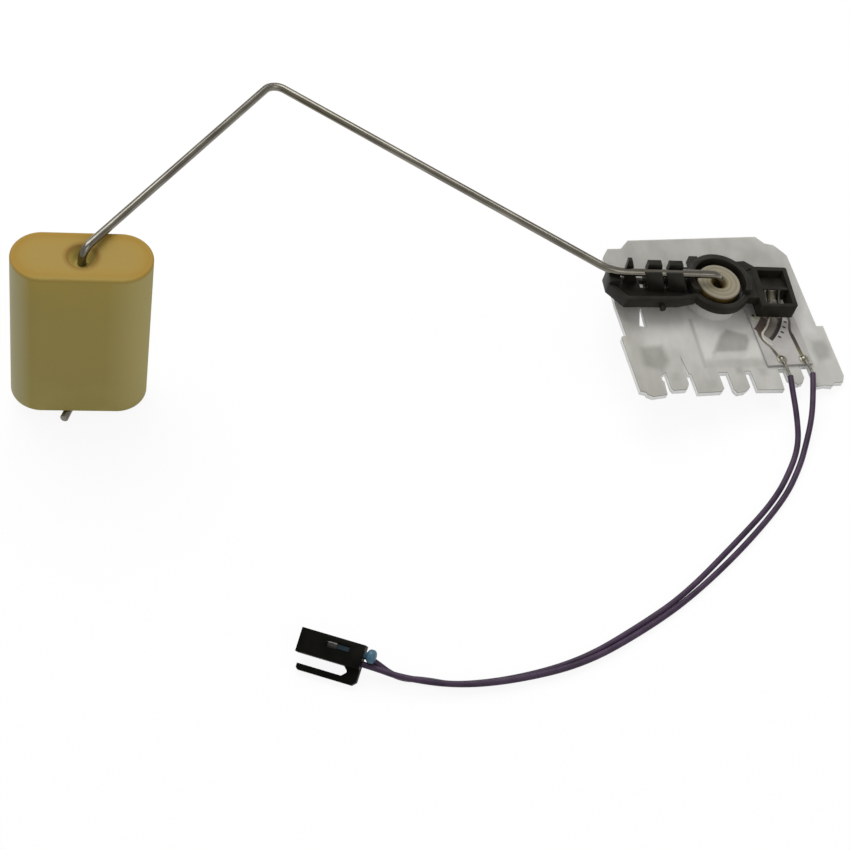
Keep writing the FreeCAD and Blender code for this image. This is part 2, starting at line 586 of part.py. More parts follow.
# Leads: two thin insulated wires from the solder pads over the plate's front edge and along the
# surface to the plug, where one lies on the other.
LEFT_ROUTE = [(91.5, -31.9, 6.0), (92.1, -38.7, 4.6), (92.0, -45.3, 2.6), (90.1, -51.8, 1.0),
              (84.9, -61.8, 0.75), (73.7, -75.6, 0.75), (61.1, -88.8, 0.75), (50.1, -98.5, 0.75),
              (36.5, -108.0, 0.75), (21.1, -113.3, 0.8), (4.9, -114.3, 1.1), (-6.2, -112.7, 2.1)]
RIGHT_ROUTE = [(97.0, -30.5, 4.6), (96.0, -38.3, 3.2), (94.1, -46.1, 1.6), (91.7, -52.5, 0.8),
               (86.8, -61.8, 0.75), (75.3, -76.5, 0.75), (62.5, -89.7, 0.75), (51.0, -99.7, 1.0),
               (37.1, -109.2, 1.5), (21.3, -114.2, 2.0), (4.9, -115.1, 2.5), (-6.4, -113.4, 3.5)]


def lead(name, start, route, port):
    """One insulated lead from its bared end to the back of its terminal in the plug."""
    level = size("(port_bottom + port_top) / 2")
    ends = [plug.multVec(FreeCAD.Vector(size(along), -size(port), level))
            for along in ("terminal_end + lead_step", "terminal_end")]
    points = [head.multVec(start)] + [FreeCAD.Vector(*spot) for spot in route] + ends
    radii = []
    for index in range(1, len(points) - 1):
        before = points[index] - points[index - 1]
        after = points[index + 1] - points[index]
        bend = before.getAngle(after)
        reach = size("lead_arc_share") * min(before.Length, after.Length)
        radii.append(reach / math.tan(bend / 2))
    path = smooth_path(points, radii)
    tube = tube_along(path, size("lead_radius"))
    length = path.Length
    filled = tube.Volume / (math.pi * size("lead_radius") ** 2 * length)
    print("%s: length %.1f, smallest bend radius %.1f, volume ratio %.4f"
          % (name, length, min(radii), filled))
    solid_of(name, tube, FreeCAD.Placement())


def lead_core(name, pad_x, pad_y, start):
    """The bared end of a lead, from its insulation down into the solder."""
    level = size("plate_thickness + card_thickness + film_thickness + core_radius")
    pad = FreeCAD.Vector(size(pad_x), size(pad_y), level)
    lift = pad + FreeCAD.Vector(0, -size("core_run"), size("core_rise"))
    drop = start + FreeCAD.Vector(0, size("core_run"), 0)
    path = smooth_path([start, drop, lift, pad], [size("core_bend")] * 2)
    solid_of(name, tube_along(path, size("core_radius")), head)


def wiring():
    left_start = FreeCAD.Vector(size("left_pad_x"), size("left_lead_start"), size("lead_lift"))
    right_start = FreeCAD.Vector(size("right_lead_x"), size("right_lead_start"), size("lead_lift"))
    solder_joint("left_solder_joint", "left_pad_x", "left_pad_y")
    solder_joint("right_solder_joint", "right_pad_x", "right_pad_y")
    lead_core("left_lead_core", "left_pad_x", "left_pad_y", left_start)
    lead_core("right_lead_core", "right_pad_x", "right_pad_y", right_start)
    lead("left_lead", left_start, LEFT_ROUTE, "far_port")
    lead("right_lead", right_start, RIGHT_ROUTE, "near_port")


# Plug: a flat two-way body with a moulded latch finger beside it, a window over the far terminal
# and a lock slid in from behind. Its frame has x from the open end to the leads and -y to the
# latch's side.
def connector_housing():
    body = new_body("connector_housing", plug)
    near = "-plug_width"
    slab(body, "Pad", "0", "plug_height", rectangle("0", "plug_length", near, "0"))
    slab(body, "Pad", "0", "latch_height", [
        ("latch_end", "-latch_inner"), ("latch_root - latch_round", "-latch_inner"),
        ("latch_root", "-latch_inner + latch_round"), ("latch_root", "-plug_width - latch_round"),
        ("latch_root - latch_round", near), ("plug_length", near),
        ("plug_length", "-latch_reach + latch_round"),
        ("plug_length - latch_round", "-latch_reach"),
        ("latch_end + latch_round / 2", "-latch_reach"),
        ("latch_end", "-latch_reach + latch_round / 2")])
    for port in ("far_port", "near_port"):
        slab(body, "Pocket", "0", "terminal_end", rectangle(
            "-%s - port_width / 2" % port, "-%s + port_width / 2" % port,
            "port_bottom", "port_top"), "YZ_Plane")
        disc(body, "Pocket", "terminal_end", "plug_length", "-" + port,
             "(port_bottom + port_top) / 2", "lead_radius + terminal_gap", "YZ_Plane")
    slab(body, "Pocket", "port_top", "plug_height", rectangle(
        "plug_window_left", "plug_window_right",
        "-far_port - port_width / 2", "-far_port + port_width / 2"))
    slab(body, "Pocket", "plug_window_right", "plug_length", rectangle(
        "-far_port - port_width / 2", "-far_port + port_width / 2",
        "lock_bottom", "lock_top + terminal_gap"), "YZ_Plane")
    return body


def connector_lock():
    body = new_body("connector_lock", plug)
    half = "(port_width / 2 - terminal_gap)"
    low = "lock_bottom + terminal_gap"
    slab(body, "Pad", low, "lock_top", rectangle(
        "lock_start", "plug_length + lock_neck_length", "-far_port - " + half, "-far_port + " + half))
    disc(body, "Pad", "plug_length + lock_neck_length",
         "plug_length + lock_neck_length + lock_head_length", "-far_port",
         "lock_bottom + lock_head_drop", "lock_head_radius", "YZ_Plane")
    slab(body, "Pocket", "plug_length", "plug_length + lock_neck_length + lock_head_length", rectangle(
        "-far_port - lock_groove / 2", "-far_port + lock_groove / 2", "0", "port_top"), "YZ_Plane")
    return body


def terminal(name, port):
    """A folded sheet terminal: a square tube open to the front, closed towards its lead."""
    body = new_body(name, plug)
    sides = ("-%s - port_width / 2 + terminal_gap" % port,
             "-%s + port_width / 2 - terminal_gap" % port)
    low, high = "port_bottom + terminal_gap", "port_top - terminal_gap"
    slab(body, "Pad", "terminal_start", "terminal_end", rectangle(*sides, low, high), "YZ_Plane")
    slab(body, "Pocket", "terminal_start", "terminal_start + terminal_mouth", rectangle(
        sides[0] + " + terminal_wall", sides[1] + " - terminal_wall",
        low + " + terminal_wall", high + " - terminal_wall"), "YZ_Plane")
    return body


mounting_plate()
pivot_bush()
resistor_card()
printed_arc("inner_track", "inner_track_in", "inner_track_out", "inner_track_start")
printed_arc("centre_track", "centre_track_in", "centre_track_out", "outer_track_start")
printed_arc("outer_track", "outer_track_in", "outer_track_out", "outer_track_start")
trim_marks()
traces()
wiper_carrier()
wiper_contact()
float_arm()
foam_float()
wiring()
connector_housing()
connector_lock()
terminal("left_terminal", "far_port")
terminal("right_terminal", "near_port")

doc.recompute()
for item in doc.Objects:
    if "Invalid" in item.State or "Error" in item.State:
        raise RuntimeError("%s did not build: %s" % (item.Label, item.State))
for part in parts:
    if part.Shape.isNull() or not part.Shape.isValid():
        raise RuntimeError("%s has no valid shape" % part.Label)
for part in parts:
    part.Shape.exportStep("parts/%s.step" % part.Label)
    box = part.Shape.BoundBox
    print("%-20s solids %d volume %9.2f  x %.1f %.1f  y %.1f %.1f  z %.2f %.2f" % (
        part.Label, len(part.Shape.Solids), part.Shape.Volume,
        box.XMin, box.XMax, box.YMin, box.YMax, box.ZMin, box.ZMax))
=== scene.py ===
import math
import bmesh
import bpy
import numpy as np
from mathutils import Matrix


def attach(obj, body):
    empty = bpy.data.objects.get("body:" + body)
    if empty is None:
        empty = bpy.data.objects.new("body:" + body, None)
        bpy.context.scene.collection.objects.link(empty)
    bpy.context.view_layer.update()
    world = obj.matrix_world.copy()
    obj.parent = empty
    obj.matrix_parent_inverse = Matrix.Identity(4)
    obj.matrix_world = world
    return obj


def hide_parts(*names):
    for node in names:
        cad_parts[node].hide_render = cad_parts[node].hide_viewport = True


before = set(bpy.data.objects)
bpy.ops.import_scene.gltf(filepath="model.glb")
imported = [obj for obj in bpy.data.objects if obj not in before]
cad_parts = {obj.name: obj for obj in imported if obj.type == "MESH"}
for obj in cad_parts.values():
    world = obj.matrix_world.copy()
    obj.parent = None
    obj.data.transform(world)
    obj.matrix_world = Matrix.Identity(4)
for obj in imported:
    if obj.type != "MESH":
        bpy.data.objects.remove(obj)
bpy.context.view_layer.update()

scene = bpy.context.scene
scene.view_settings.view_transform = "Standard"


# Mounting plate: one injection moulding in natural, unfilled nylon. It is slightly cloudy, so the
# ribs and pads moulded on its back show through as greyer patches. It also carries painted light: a
# broad pale patch and a paler lower part offset the shade under the carrier, its thin walls are
# painted paler, and a thin painted shade line runs round its edges.
def turned(axis, degrees):
    """The matrix of a turn about axis 0, 1 or 2: the other two mix by cosine and sine."""
    cosine, sine = math.cos(math.radians(degrees)), math.sin(math.radians(degrees))
    first, second = ((1, 2), (2, 0), (0, 1))[axis]
    matrix = np.eye(3)
    matrix[first, first] = matrix[second, second] = cosine
    matrix[first, second], matrix[second, first] = -sine, sine
    return matrix


HUB = np.array([72.35, -4.93, 6.96])
PLATE_TURN = turned(1, 12.6) @ turned(0, -1.5) @ turned(2, 13.09)


def on_plate(points):
    """Metres, from millimetres in the plate's frame: its hub is the origin, its back is height 0."""
    return (HUB + np.asarray(points) @ PLATE_TURN.T) / 1000


def linear(code):
    """An sRGB hex colour as linear red, green, blue and a full alpha."""
    parts = np.array([int(code[i:i + 2], 16) for i in (0, 2, 4)]) / 255
    parts = np.where(parts <= 0.04045, parts / 12.92, ((parts + 0.055) / 1.055) ** 2.4)
    return (*parts.tolist(), 1.0)


def add(tree, kind, inputs=None, stops=(), **settings):
    """One node with its settings; an input is a value, or a socket of another node to link. The
    stops are a colour ramp's own, as (place, hex colour)."""
    node = tree.nodes.new("ShaderNode" + kind)
    for name, value in settings.items():
        setattr(node, name, value)
    for name, value in (inputs or {}).items():
        if isinstance(value, bpy.types.NodeSocket):
            tree.links.new(value, node.inputs[name])
        else:
            node.inputs[name].default_value = value
    while stops and len(node.color_ramp.elements) < len(stops):
        node.color_ramp.elements.new(1.0)
    for count, (spot, code) in enumerate(stops):
        node.color_ramp.elements[count].position = spot
        node.color_ramp.elements[count].color = linear(code)
    return node


def new_material(name, **sockets):
    """A material with a Principled shader, its plain sockets set, and its Object coordinates."""
    made = bpy.data.materials.new(name)
    made.use_nodes = True
    tree = made.node_tree
    shader = tree.nodes["Principled BSDF"]
    for socket, value in sockets.items():
        shader.inputs[socket.replace("_", " ")].default_value = value
    place = add(tree, "TexCoord").outputs["Object"]
    return made, tree, shader, place


def cloud(tree, place, grain, stretch=(1, 1, 1), detail=3.0):
    """A soft noise whose patches are about grain metres wide, longer where stretch is under 1."""
    moved = add(tree, "Mapping", {"Vector": place, "Scale": stretch}).outputs[0]
    return add(tree, "TexNoise", {"Vector": moved, "Scale": 1 / grain, "Detail": detail}).outputs["Fac"]


def bumped(tree, shader, heights):
    """Surface relief from pairs of (value socket, height in metres), one laid on the other."""
    normal = None
    for value, height in heights:
        inputs = {"Height": value, "Distance": height}
        if normal:
            inputs["Normal"] = normal
        normal = add(tree, "Bump", inputs).outputs["Normal"]
    tree.links.new(normal, shader.inputs["Normal"])


def in_frame(tree, place, origin=HUB, turn=PLATE_TURN):
    """Object coordinates as millimetres in a piece's own frame, which is the plate's by default."""
    return add(tree, "Mapping", {
        "Vector": place, "Location": (origin / 1000).tolist(), "Scale": (0.001, 0.001, 0.001),
        "Rotation": Matrix(turn.tolist()).to_euler()}, vector_type="TEXTURE").outputs[0]


def patch(tree, spot, corners, soft):
    """1 inside a convex outline, fading to 0 over soft millimetres at its sides. A side's inward
    distance is the point along the side's normal, less the side's own; the least of them counts."""
    corners = np.array(corners)
    least = None
    for first, second in zip(corners, np.roll(corners, -1, axis=0)):
        normal = np.array([first[1] - second[1], second[0] - first[0]])
        normal = normal / np.hypot(*normal)
        normal *= np.sign((corners.mean(0) - first) @ normal)
        along = add(tree, "VectorMath", {0: spot, 1: (*normal, 0)},
                    operation="DOT_PRODUCT").outputs["Value"]
        inside = add(tree, "Math", {0: along, 1: float(first @ normal)}, operation="SUBTRACT").outputs[0]
        least = inside if least is None else add(
            tree, "Math", {0: least, 1: inside}, operation="MINIMUM").outputs[0]
    return add(tree, "MapRange", {"Value": least, "From Min": -soft / 2, "From Max": soft / 2},
               interpolation_type="SMOOTHSTEP").outputs[0]


def softened(name, node, body, edge, made):
    """A node's form with its edges rounded to edge metres: its triangles are joined into flat
    faces first, and only edges sharper than 30 degrees are rounded."""
    piece = bpy.data.objects.new(name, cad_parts[node].data.copy())
    mesh = bmesh.new()
    mesh.from_mesh(piece.data)
    bmesh.ops.remove_doubles(mesh, verts=mesh.verts, dist=2e-6)
    bmesh.ops.dissolve_limit(mesh, angle_limit=math.radians(1), verts=mesh.verts, edges=mesh.edges)
    mesh.to_mesh(piece.data)
    mesh.free()
    piece.data.shade_smooth()
    piece.data.materials.clear()
    piece.data.materials.append(made)
    scene.collection.objects.link(piece)
    round_off = piece.modifiers.new("edge_round", "BEVEL")
    round_off.width = edge
    round_off.segments = 2
    round_off.limit_method = "ANGLE"
    round_off.angle_limit = math.radians(30)
    round_off.harden_normals = True
    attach(piece, body)
    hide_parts(node)
    return piece


# Each patch is (corners and softness of its sides in the plate's millimetres, colour, strength).
SHOWS_THROUGH_AND_PAINTED_LIGHT = [
    # The first patch is painted light: a broad pale patch that offsets the shade under the carrier.
    ([(-24, -3), (8, -3), (6, -13), (-22, -15)], 10.2, "d6d5d1", 0.7),
    ([(-29, -9), (-24, -8), (-22.3, -31), (-29, -31)], 6.8, "9c9a90", 0.6),
    ([(-24.0, -14.5), (-18.2, -14.2), (-17.6, -19), (-20.3, -22.2), (-24.6, -20.3)], 2.21, "84837b", 0.8),
    ([(-7.7, -11.3), (-1.8, -12.2), (-5.7, -18.8), (-7.9, -19.2)], 1.36, "c6c5bf", 0.9),
    ([(-8.1, -6), (-7.3, -6), (-7.9, -21.7), (-8.9, -22.1)], 1.02, "94938b", 0.7),
    ([(-1.2, -11.9), (1.2, -9.9), (6.3, -11.8), (6.5, -13.8), (4.9, -16.9), (-4.6, -17.2)], 1.53,
     "8d8c85", 0.85),
    ([(-3.8, -17.1), (3.9, -17.5), (2.9, -19.5), (-4.9, -19.2)], 1.53, "bdbcb6", 0.8),
    ([(6.8, -13.6), (8.9, -13.9), (8.3, -19.5), (3.3, -19.3)], 1.53, "c6c5bf", 0.9),
    ([(6.5, -6.1), (8.8, -4.6), (9.5, -11.4), (4.2, -10.1)], 1.7, "c4c3be", 0.8),
    ([(-7.5, -19.7), (9.3, -20.3), (8.8, -22.3), (-8.1, -21.9)], 1.19, "a3a29b", 0.6),
    ([(23.8, -14.9), (27.4, -14.7), (28, -17.5), (27, -20.4), (23.6, -21.6), (22.8, -18)], 2.72,
     "84837c", 0.75),
    ([(22.1, -6.3), (25.9, -4.4), (25.6, -11.7), (21.9, -13.1)], 3.4, "cdccc8", 0.8),
    ([(-0.4, -22.2), (1.3, -22.2), (1.2, -24.1), (-0.4, -24.1)], 1.53, "8f8e87", 0.7),
    ([(5.9, -22.9), (8.0, -22.9), (8.0, -25.1), (5.9, -25.1)], 1.7, "96958e", 0.6),
    ([(-18.2, -23), (-16.4, -23), (-16.6, -25.3), (-18.4, -25.3)], 1.7, "96958e", 0.6),
    ([(-9.6, -25.8), (-7.2, -25.8), (-7.2, -28.2), (-9.6, -28.2)], 2.38, "9a9992", 0.6),
]

# Nylon scatters light inside itself: milky and satin, with soft grey clouds and no sharp gloss.
nylon, tree, shader, place = new_material("natural_moulded_nylon", Roughness=0.46, IOR=1.53,
                                          Specular_IOR_Level=0.3, Subsurface_Weight=0.5,
                                          Subsurface_Scale=0.0025,
                                          Subsurface_Radius=(1.0, 0.97, 0.9))
spot = in_frame(tree, place)
split = add(tree, "SeparateXYZ", {"Vector": spot})
across = add(tree, "MapRange", {"Value": split.outputs[0], "From Min": -28, "From Max": 28}).outputs[0]
wander = cloud(tree, place, 0.011, detail=2.0)
level = add(tree, "MixRGB", {"Fac": 0.6, "Color1": across, "Color2": wander}).outputs["Color"]
colour = add(tree, "ValToRGB", {"Fac": level}, stops=[
    (0.25, "a19f97"), (0.45, "adaca6"), (0.6, "b4b3ad"), (0.8, "bfbeba")]).outputs[0]
for corners, soft, shade, strength in SHOWS_THROUGH_AND_PAINTED_LIGHT:
    seen = patch(tree, spot, corners, soft)
    dim = add(tree, "Math", {0: seen, 1: strength}, operation="MULTIPLY").outputs[0]
    colour = add(tree, "MixRGB", {"Fac": dim, "Color1": colour, "Color2": linear(shade)}).outputs["Color"]
# Painted light: the plate is painted paler towards its lower part, to offset the shade under the carrier,
# and greyer towards its top.
upward = add(tree, "MapRange", {"Value": split.outputs[1], "From Min": -12, "From Max": 10}).outputs[0]
painted_light_by_height = add(tree, "ValToRGB", {"Fac": upward}, stops=[
    (0.0, "fafaf9"), (0.45, "f2f2f1"), (0.7, "dededc"), (1.0, "dadad8")]).outputs[0]
colour = add(tree, "MixRGB", {"Fac": 1.0, "Color1": colour, "Color2": painted_light_by_height},
             blend_type="MULTIPLY").outputs["Color"]
colour = add(tree, "BrightContrast", {"Color": colour, "Bright": 0.035}).outputs["Color"]
veins = add(tree, "ValToRGB", {"Fac": cloud(tree, place, 0.0035, (1, 0.5, 1))}, stops=[
    (0.35, "918f88"), (0.65, "dad9d5")]).outputs[0]
colour = add(tree, "MixRGB", {"Fac": 0.12, "Color1": colour, "Color2": veins}).outputs["Color"]
# Painted light: the thin walls are painted paler, standing in for light that enters the faces and
# comes out of the walls, and a thin line of painted shade runs darker round every edge.
# The plate is 1.6 mm thick, and its rounded edge starts 0.24 mm below its face.
wall = add(tree, "MapRange", {"Value": split.outputs[2], "From Min": 1.36, "From Max": 1.3}).outputs[0]
colour = add(tree, "MixRGB", {"Fac": wall, "Color1": colour, "Color2": linear("f7f7f5")}).outputs["Color"]
top = add(tree, "MapRange", {"Value": split.outputs[2], "From Min": 1.595, "From Max": 1.57}).outputs[0]
painted_edge_shade = add(tree, "Math", {0: top, 1: wall}, operation="SUBTRACT").outputs[0]
painted_edge_shade = add(tree, "Math", {0: painted_edge_shade, 1: 0.5}, operation="MULTIPLY", use_clamp=True).outputs[0]
colour = add(tree, "MixRGB", {"Fac": painted_edge_shade, "Color1": colour, "Color2": linear("7b7a72")}).outputs["Color"]
tree.links.new(colour, shader.inputs["Base Color"])
bumped(tree, shader, [(cloud(tree, place, 0.006), 0.00012), (cloud(tree, place, 0.0005), 0.000008)])
softened("nylon_plate", "mounting_plate", "base", 0.00024, nylon)


# Pivot bush: turned from white acetal rod, which leaves fine rings on its face, and pressed into
# the pedestal. The side of its head is coloured a darker amber than its face, and its mouth is
# painted dark: painted shade in the hollow.
def surface(name, points, body, made, wrap=(False, False), marks=None):
    """A skin over a grid of points, closed along rows or columns where wrap says so. A pattern
    that follows it reads marks, two numbers for each point, from its UV map."""
    rows, columns = points.shape[:2]
    index = np.arange(rows * columns).reshape(rows, columns)
    if wrap[0]:
        index = np.vstack([index, index[:1]])
    if wrap[1]:
        index = np.hstack([index, index[:, :1]])
    faces = np.stack([index[:-1, :-1], index[:-1, 1:], index[1:, 1:], index[1:, :-1]], -1)
    skin = bpy.data.meshes.new(name)
    skin.from_pydata(points.reshape(-1, 3).tolist(), [], faces.reshape(-1, 4).tolist())
    if marks is not None:
        layer = skin.uv_layers.new(name="along")
        layer.data.foreach_set("uv", marks.reshape(-1, 2)[faces.ravel()].ravel())
    mesh = bmesh.new()
    mesh.from_mesh(skin)
    bmesh.ops.remove_doubles(mesh, verts=mesh.verts, dist=1e-7)
    bmesh.ops.holes_fill(mesh, edges=mesh.edges, sides=0)
    bmesh.ops.recalc_face_normals(mesh, faces=mesh.faces)
    mesh.to_mesh(skin)
    mesh.free()
    skin.shade_smooth()
    skin.materials.append(made)
    piece = bpy.data.objects.new(name, skin)
    scene.collection.objects.link(piece)
    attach(piece, body)
    return piece


def turned_form(profile, steps):
    """A profile of (radius, height) carried round the hub's axis in equal steps."""
    angle = np.linspace(0, 2 * np.pi, steps, endpoint=False)[:, None]
    radius, height = profile[:, 0], profile[:, 1]
    return np.stack([radius * np.cos(angle), radius * np.sin(angle), height + 0 * angle], -1)


def off_axis(tree, spot):
    """The distance from a frame's axis: the length of x and y without z."""
    flat = add(tree, "VectorMath", {0: spot, 1: (1, 1, 0)}, operation="MULTIPLY").outputs[0]
    return add(tree, "VectorMath", {0: flat}, operation="LENGTH").outputs["Value"]


# Acetal looks waxy: dull ivory on its face with darker rings across it, and painted shade in the mouth.
acetal, tree, shader, place = new_material("turned_acetal_painted_shade", Roughness=0.4, IOR=1.48,
                                           Specular_IOR_Level=0.4)
spot = in_frame(tree, place)
split = add(tree, "SeparateXYZ", {"Vector": spot})
out = add(tree, "MapRange", {"Value": off_axis(tree, spot), "From Max": 6.0}).outputs[0]
# The innermost stops are painted shade: the mouth and its countersink are painted dark.
face = add(tree, "ValToRGB", {"Fac": out}, stops=[
    (0.2, "3a3316"), (0.36, "61583a"), (0.41, "7c745c"), (0.47, "928a72"), (0.54, "797059"),
    (0.6, "8c846e"), (0.7, "8a826f"), (0.76, "7a725f"), (0.83, "8e8776"),
    (0.95, "857d6b")]).outputs[0]
side = add(tree, "ValToRGB", {"Fac": cloud(tree, place, 0.003)}, stops=[
    (0.35, "4b3c1b"), (0.65, "6b5526")]).outputs[0]
rise = add(tree, "MapRange", {"Value": split.outputs[2], "From Min": 8.45, "From Max": 8.8}).outputs[0]
colour = add(tree, "MixRGB", {"Fac": rise, "Color1": side, "Color2": face}).outputs["Color"]
tree.links.new(colour, shader.inputs["Base Color"])
bumped(tree, shader, [(cloud(tree, place, 0.0006), 0.00001)])

# The tool's rings, 0.62 mm apart, are a cosine wave 0.03 mm deep across the face.
RING_PITCH, RING_RISE = 0.62, 0.015
across = np.linspace(5.35, 2.3, 44)
rings = np.stack([across, 8.985 - RING_RISE * np.cos(2 * np.pi * across / RING_PITCH)], -1)
bush_profile = np.vstack([
    [(0, 0.3), (3.3, 0.3), (3.4, 0.4), (3.4, 5.79), (4.55, 5.81), (4.6, 5.86), (4.6, 6.92),
     (5.62, 6.92), (5.7, 7.0), (5.7, 8.68), (5.62, 8.86), (5.5, 8.95)], rings,
    [(2.1, 8.95), (1.9, 8.82), (1.5, 8.2), (1.2, 7.75), (1.1, 7.5), (1.1, 0.75), (0, 0.75)]])
bush_points = turned_form(bush_profile, 96)
# The mouth is worn wider on one side, by 28% at most.
heading = np.arctan2(bush_points[..., 1], bush_points[..., 0])
worn = np.clip(np.cos(heading + math.radians(125)), 0, 1) ** 2
in_mouth = (bush_points[..., 2] > 7.6) & (np.hypot(bush_points[..., 0], bush_points[..., 1]) < 2.2)
bush_points[..., :2] *= (1 + 0.28 * worn * in_mouth)[..., None]
bush = surface("turned_bush", on_plate(bush_points), "base", acetal, (True, False))
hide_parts("pivot_bush")


# Resistor card: a fired alumina blank, matt and faintly speckled. Near its inner corner it carries
# a drop of cream sealing lacquer over a dark test point.
def dress(node, made):
    """Give a CAD node its material."""
    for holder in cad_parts[node].material_slots:
        holder.material = made


def tint(tree, shader, value, stops):
    """Base colour that follows a value through stops of (place, hex colour)."""
    colour = add(tree, "ValToRGB", {"Fac": value}, stops=stops).outputs[0]
    tree.links.new(colour, shader.inputs["Base Color"])


def mottle(tree, shader, place, grain, low, high, stretch=(1, 1, 1)):
    """Base colour that wanders between two hex colours over patches of about grain metres."""
    tint(tree, shader, cloud(tree, place, grain, stretch), [(0.35, low), (0.65, high)])


CARD_FACE = 2.3

# Alumina is dense and matt: a cool light grey with hardly any grain.
ceramic, tree, shader, place = new_material("fired_alumina", Roughness=0.6, IOR=1.6)
mottle(tree, shader, place, 0.003, "9f9c98", "aaa7a3")
bumped(tree, shader, [(cloud(tree, place, 0.0004), 0.000012)])
dress("resistor_card", ceramic)

# Lacquer dries to a low glossy drop, greener than the card under it.
lacquer, tree, shader, place = new_material("cream_sealing_lacquer", Roughness=0.3, IOR=1.5)
mottle(tree, shader, place, 0.001, "a3a28c", "b5b49f")
drop_profile = np.array([(0, 0.14), (0.5, 0.13), (0.9, 0.1), (1.15, 0.05), (1.25, 0), (0, 0)])
surface("lacquer_drop", on_plate(turned_form(drop_profile, 40) + (10.15, -6.9, CARD_FACE)),
        "base", lacquer, (True, False))

# Glass ink fires nearly black, with a slight gloss.
dark_ink, tree, shader, place = new_material("dark_glass_ink", Roughness=0.45)
mottle(tree, shader, place, 0.001, "262420", "39362f")
surface("test_point", on_plate(turned_form(drop_profile * (0.34, 0.6), 24)
                               + (9.75, -6.35, CARD_FACE + 0.1)),
        "base", dark_ink, (True, False))


# Prints: thick-film pastes screened on the card and fired. The resistor arc is grey-brown with a
# dark glassy border, and the silver-palladium conductors are pale where no lacquer covers them.
# Thin resistor paste is matt, and a warm brown over the pale card.
brown_ink, tree, shader, place = new_material("brown_resistor_paste", Roughness=0.5)
mottle(tree, shader, place, 0.0012, "3f342c", "51443a")
dress("inner_track", brown_ink)

# Bare fired silver-palladium looks more like pale chalk than like metal.
silver_ink, tree, shader, place = new_material("silver_palladium_paste", Roughness=0.42)
mottle(tree, shader, place, 0.0012, "b3aea0", "c4c0b3")

# Thicker paste is grey-brown, and nearly black where the glass border covers its outer edge.
grey_ink, tree, shader, place = new_material("grey_resistor_paste", Roughness=0.5)
out = off_axis(tree, in_frame(tree, place))
out = add(tree, "MapRange", {"Value": out, "From Min": 16.3, "From Max": 19.4}).outputs[0]
wander = cloud(tree, place, 0.001)
out = add(tree, "MixRGB", {"Fac": 0.12, "Color1": out, "Color2": wander}).outputs["Color"]
tint(tree, shader, out, [(0.1, "554f46"), (0.2, "676158"), (0.56, "6f6960"), (0.66, "2e2a24"),
                         (0.85, "1d1b16")])
dress("outer_track", grey_ink)
dress("trim_marks", dark_ink)


def lacquered(name, stops):
    """A print whose colour runs through stops from its solder pad, 0, up to the wiper box, 1."""
    made, tree, shader, place = new_material(name, Roughness=0.4)
    split = add(tree, "SeparateXYZ", {"Vector": in_frame(tree, place)})
    up = add(tree, "MapRange", {"Value": split.outputs[1], "From Min": -22, "From Max": -8}).outputs[0]
    tint(tree, shader, up, stops)
    return made


# Lacquer and flux lie over the silver: olive at the pad, nearly black halfway, brown at the box.
olive_ink = lacquered("olive_lacquered_conductor", [
    (0.08, "6f6844"), (0.25, "5a5330"), (0.4, "3b3523"), (0.62, "2b261c"), (0.8, "4a4236"),
    (1.0, "5b5347")])

# The same lacquer lies thinner here: grey-olive at the pad, brown beside the arc.
border_ink = lacquered("grey_lacquered_conductor", [
    (0.1, "5d5b4c"), (0.25, "4c4a3a"), (0.42, "6a675a"), (0.55, "5c5546"), (0.7, "4b4036"),
    (0.9, "463a30")])


def printed_line(name, corners, widths, made, level):
    """A strip along corners: evenly spaced points, each averaged with its neighbours to round
    the turns, with half its width to each side and a low crowned section of film."""
    corners, widths = np.array(corners), np.array(widths)
    steps = np.r_[0, np.cumsum(np.hypot(*np.diff(corners, axis=0).T))]
    along = np.linspace(0, steps[-1], 90)
    kernel = np.ones(9) / 9
    middle = np.stack([np.convolve(np.pad(np.interp(along, steps, corners[:, axis]), 4, "reflect",
                                          reflect_type="odd"), kernel, "valid")
                       for axis in (0, 1)], -1)
    half = np.interp(along, steps, widths)[:, None] / 2
    way = np.gradient(middle, axis=0)
    side = np.stack([-way[:, 1], way[:, 0]], -1) / np.hypot(*way.T)[:, None]
    section = np.array([(-1, 0), (-0.85, 0.045), (0, 0.06), (0.85, 0.045), (1, 0)])
    flat_points = middle[:, None] + side[:, None] * (half * section[:, 0])[..., None]
    height = np.broadcast_to(section[:, 1] + CARD_FACE + level, flat_points.shape[:2])
    points = np.concatenate([flat_points, height[..., None]], -1)
    return surface(name, on_plate(points), "base", made, (False, True))


# The arcs reach this far under the wiper box, so that no end shows when the box swings away.
HIDDEN_END = 17


def on_arc(radius, last):
    """Twelve points on a circle round the hub, from the arcs' hidden end to a last heading, both
    in degrees."""
    heading = np.radians(np.linspace(HIDDEN_END, last, 12))
    return np.stack([radius * np.cos(heading), radius * np.sin(heading)], -1)


printed_line("inner_track_edge", on_arc(15.35, -50), [0.7] * 12, brown_ink, -0.01)
printed_line("outer_track_edge", on_arc(16.15, -47), [0.5] * 12, grey_ink, -0.01)
left_border = printed_line(
    "left_trace_border", [(10.1, -9.9), (9.76, -11.06), (9.62, -12.24), (9.6, -13.42), (9.8, -14.6),
                          (10.39, -15.69), (11.11, -16.55), (11.54, -17.63), (11.88, -18.7),
                          (12.4, -20.5)],
    [1.4, 1.25, 1.0, 0.75, 0.6, 0.55, 0.6, 0.8, 0.9, 0.95], border_ink, 0)
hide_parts("left_trace")
silver_line = printed_line(
    "centre_line", [*on_arc(15.92, -38), (12.19, -10.48), (11.07, -11.49), (10.39, -12.2),
                    (10.1, -12.95), (10.13, -13.8), (10.41, -14.75), (11.27, -15.5), (12.1, -16.25)],
    [0.55] * 12 + [0.5, 0.52, 0.6, 0.65, 0.65, 0.62, 0.5, 0.3], silver_ink, 0.02)
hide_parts("centre_track")
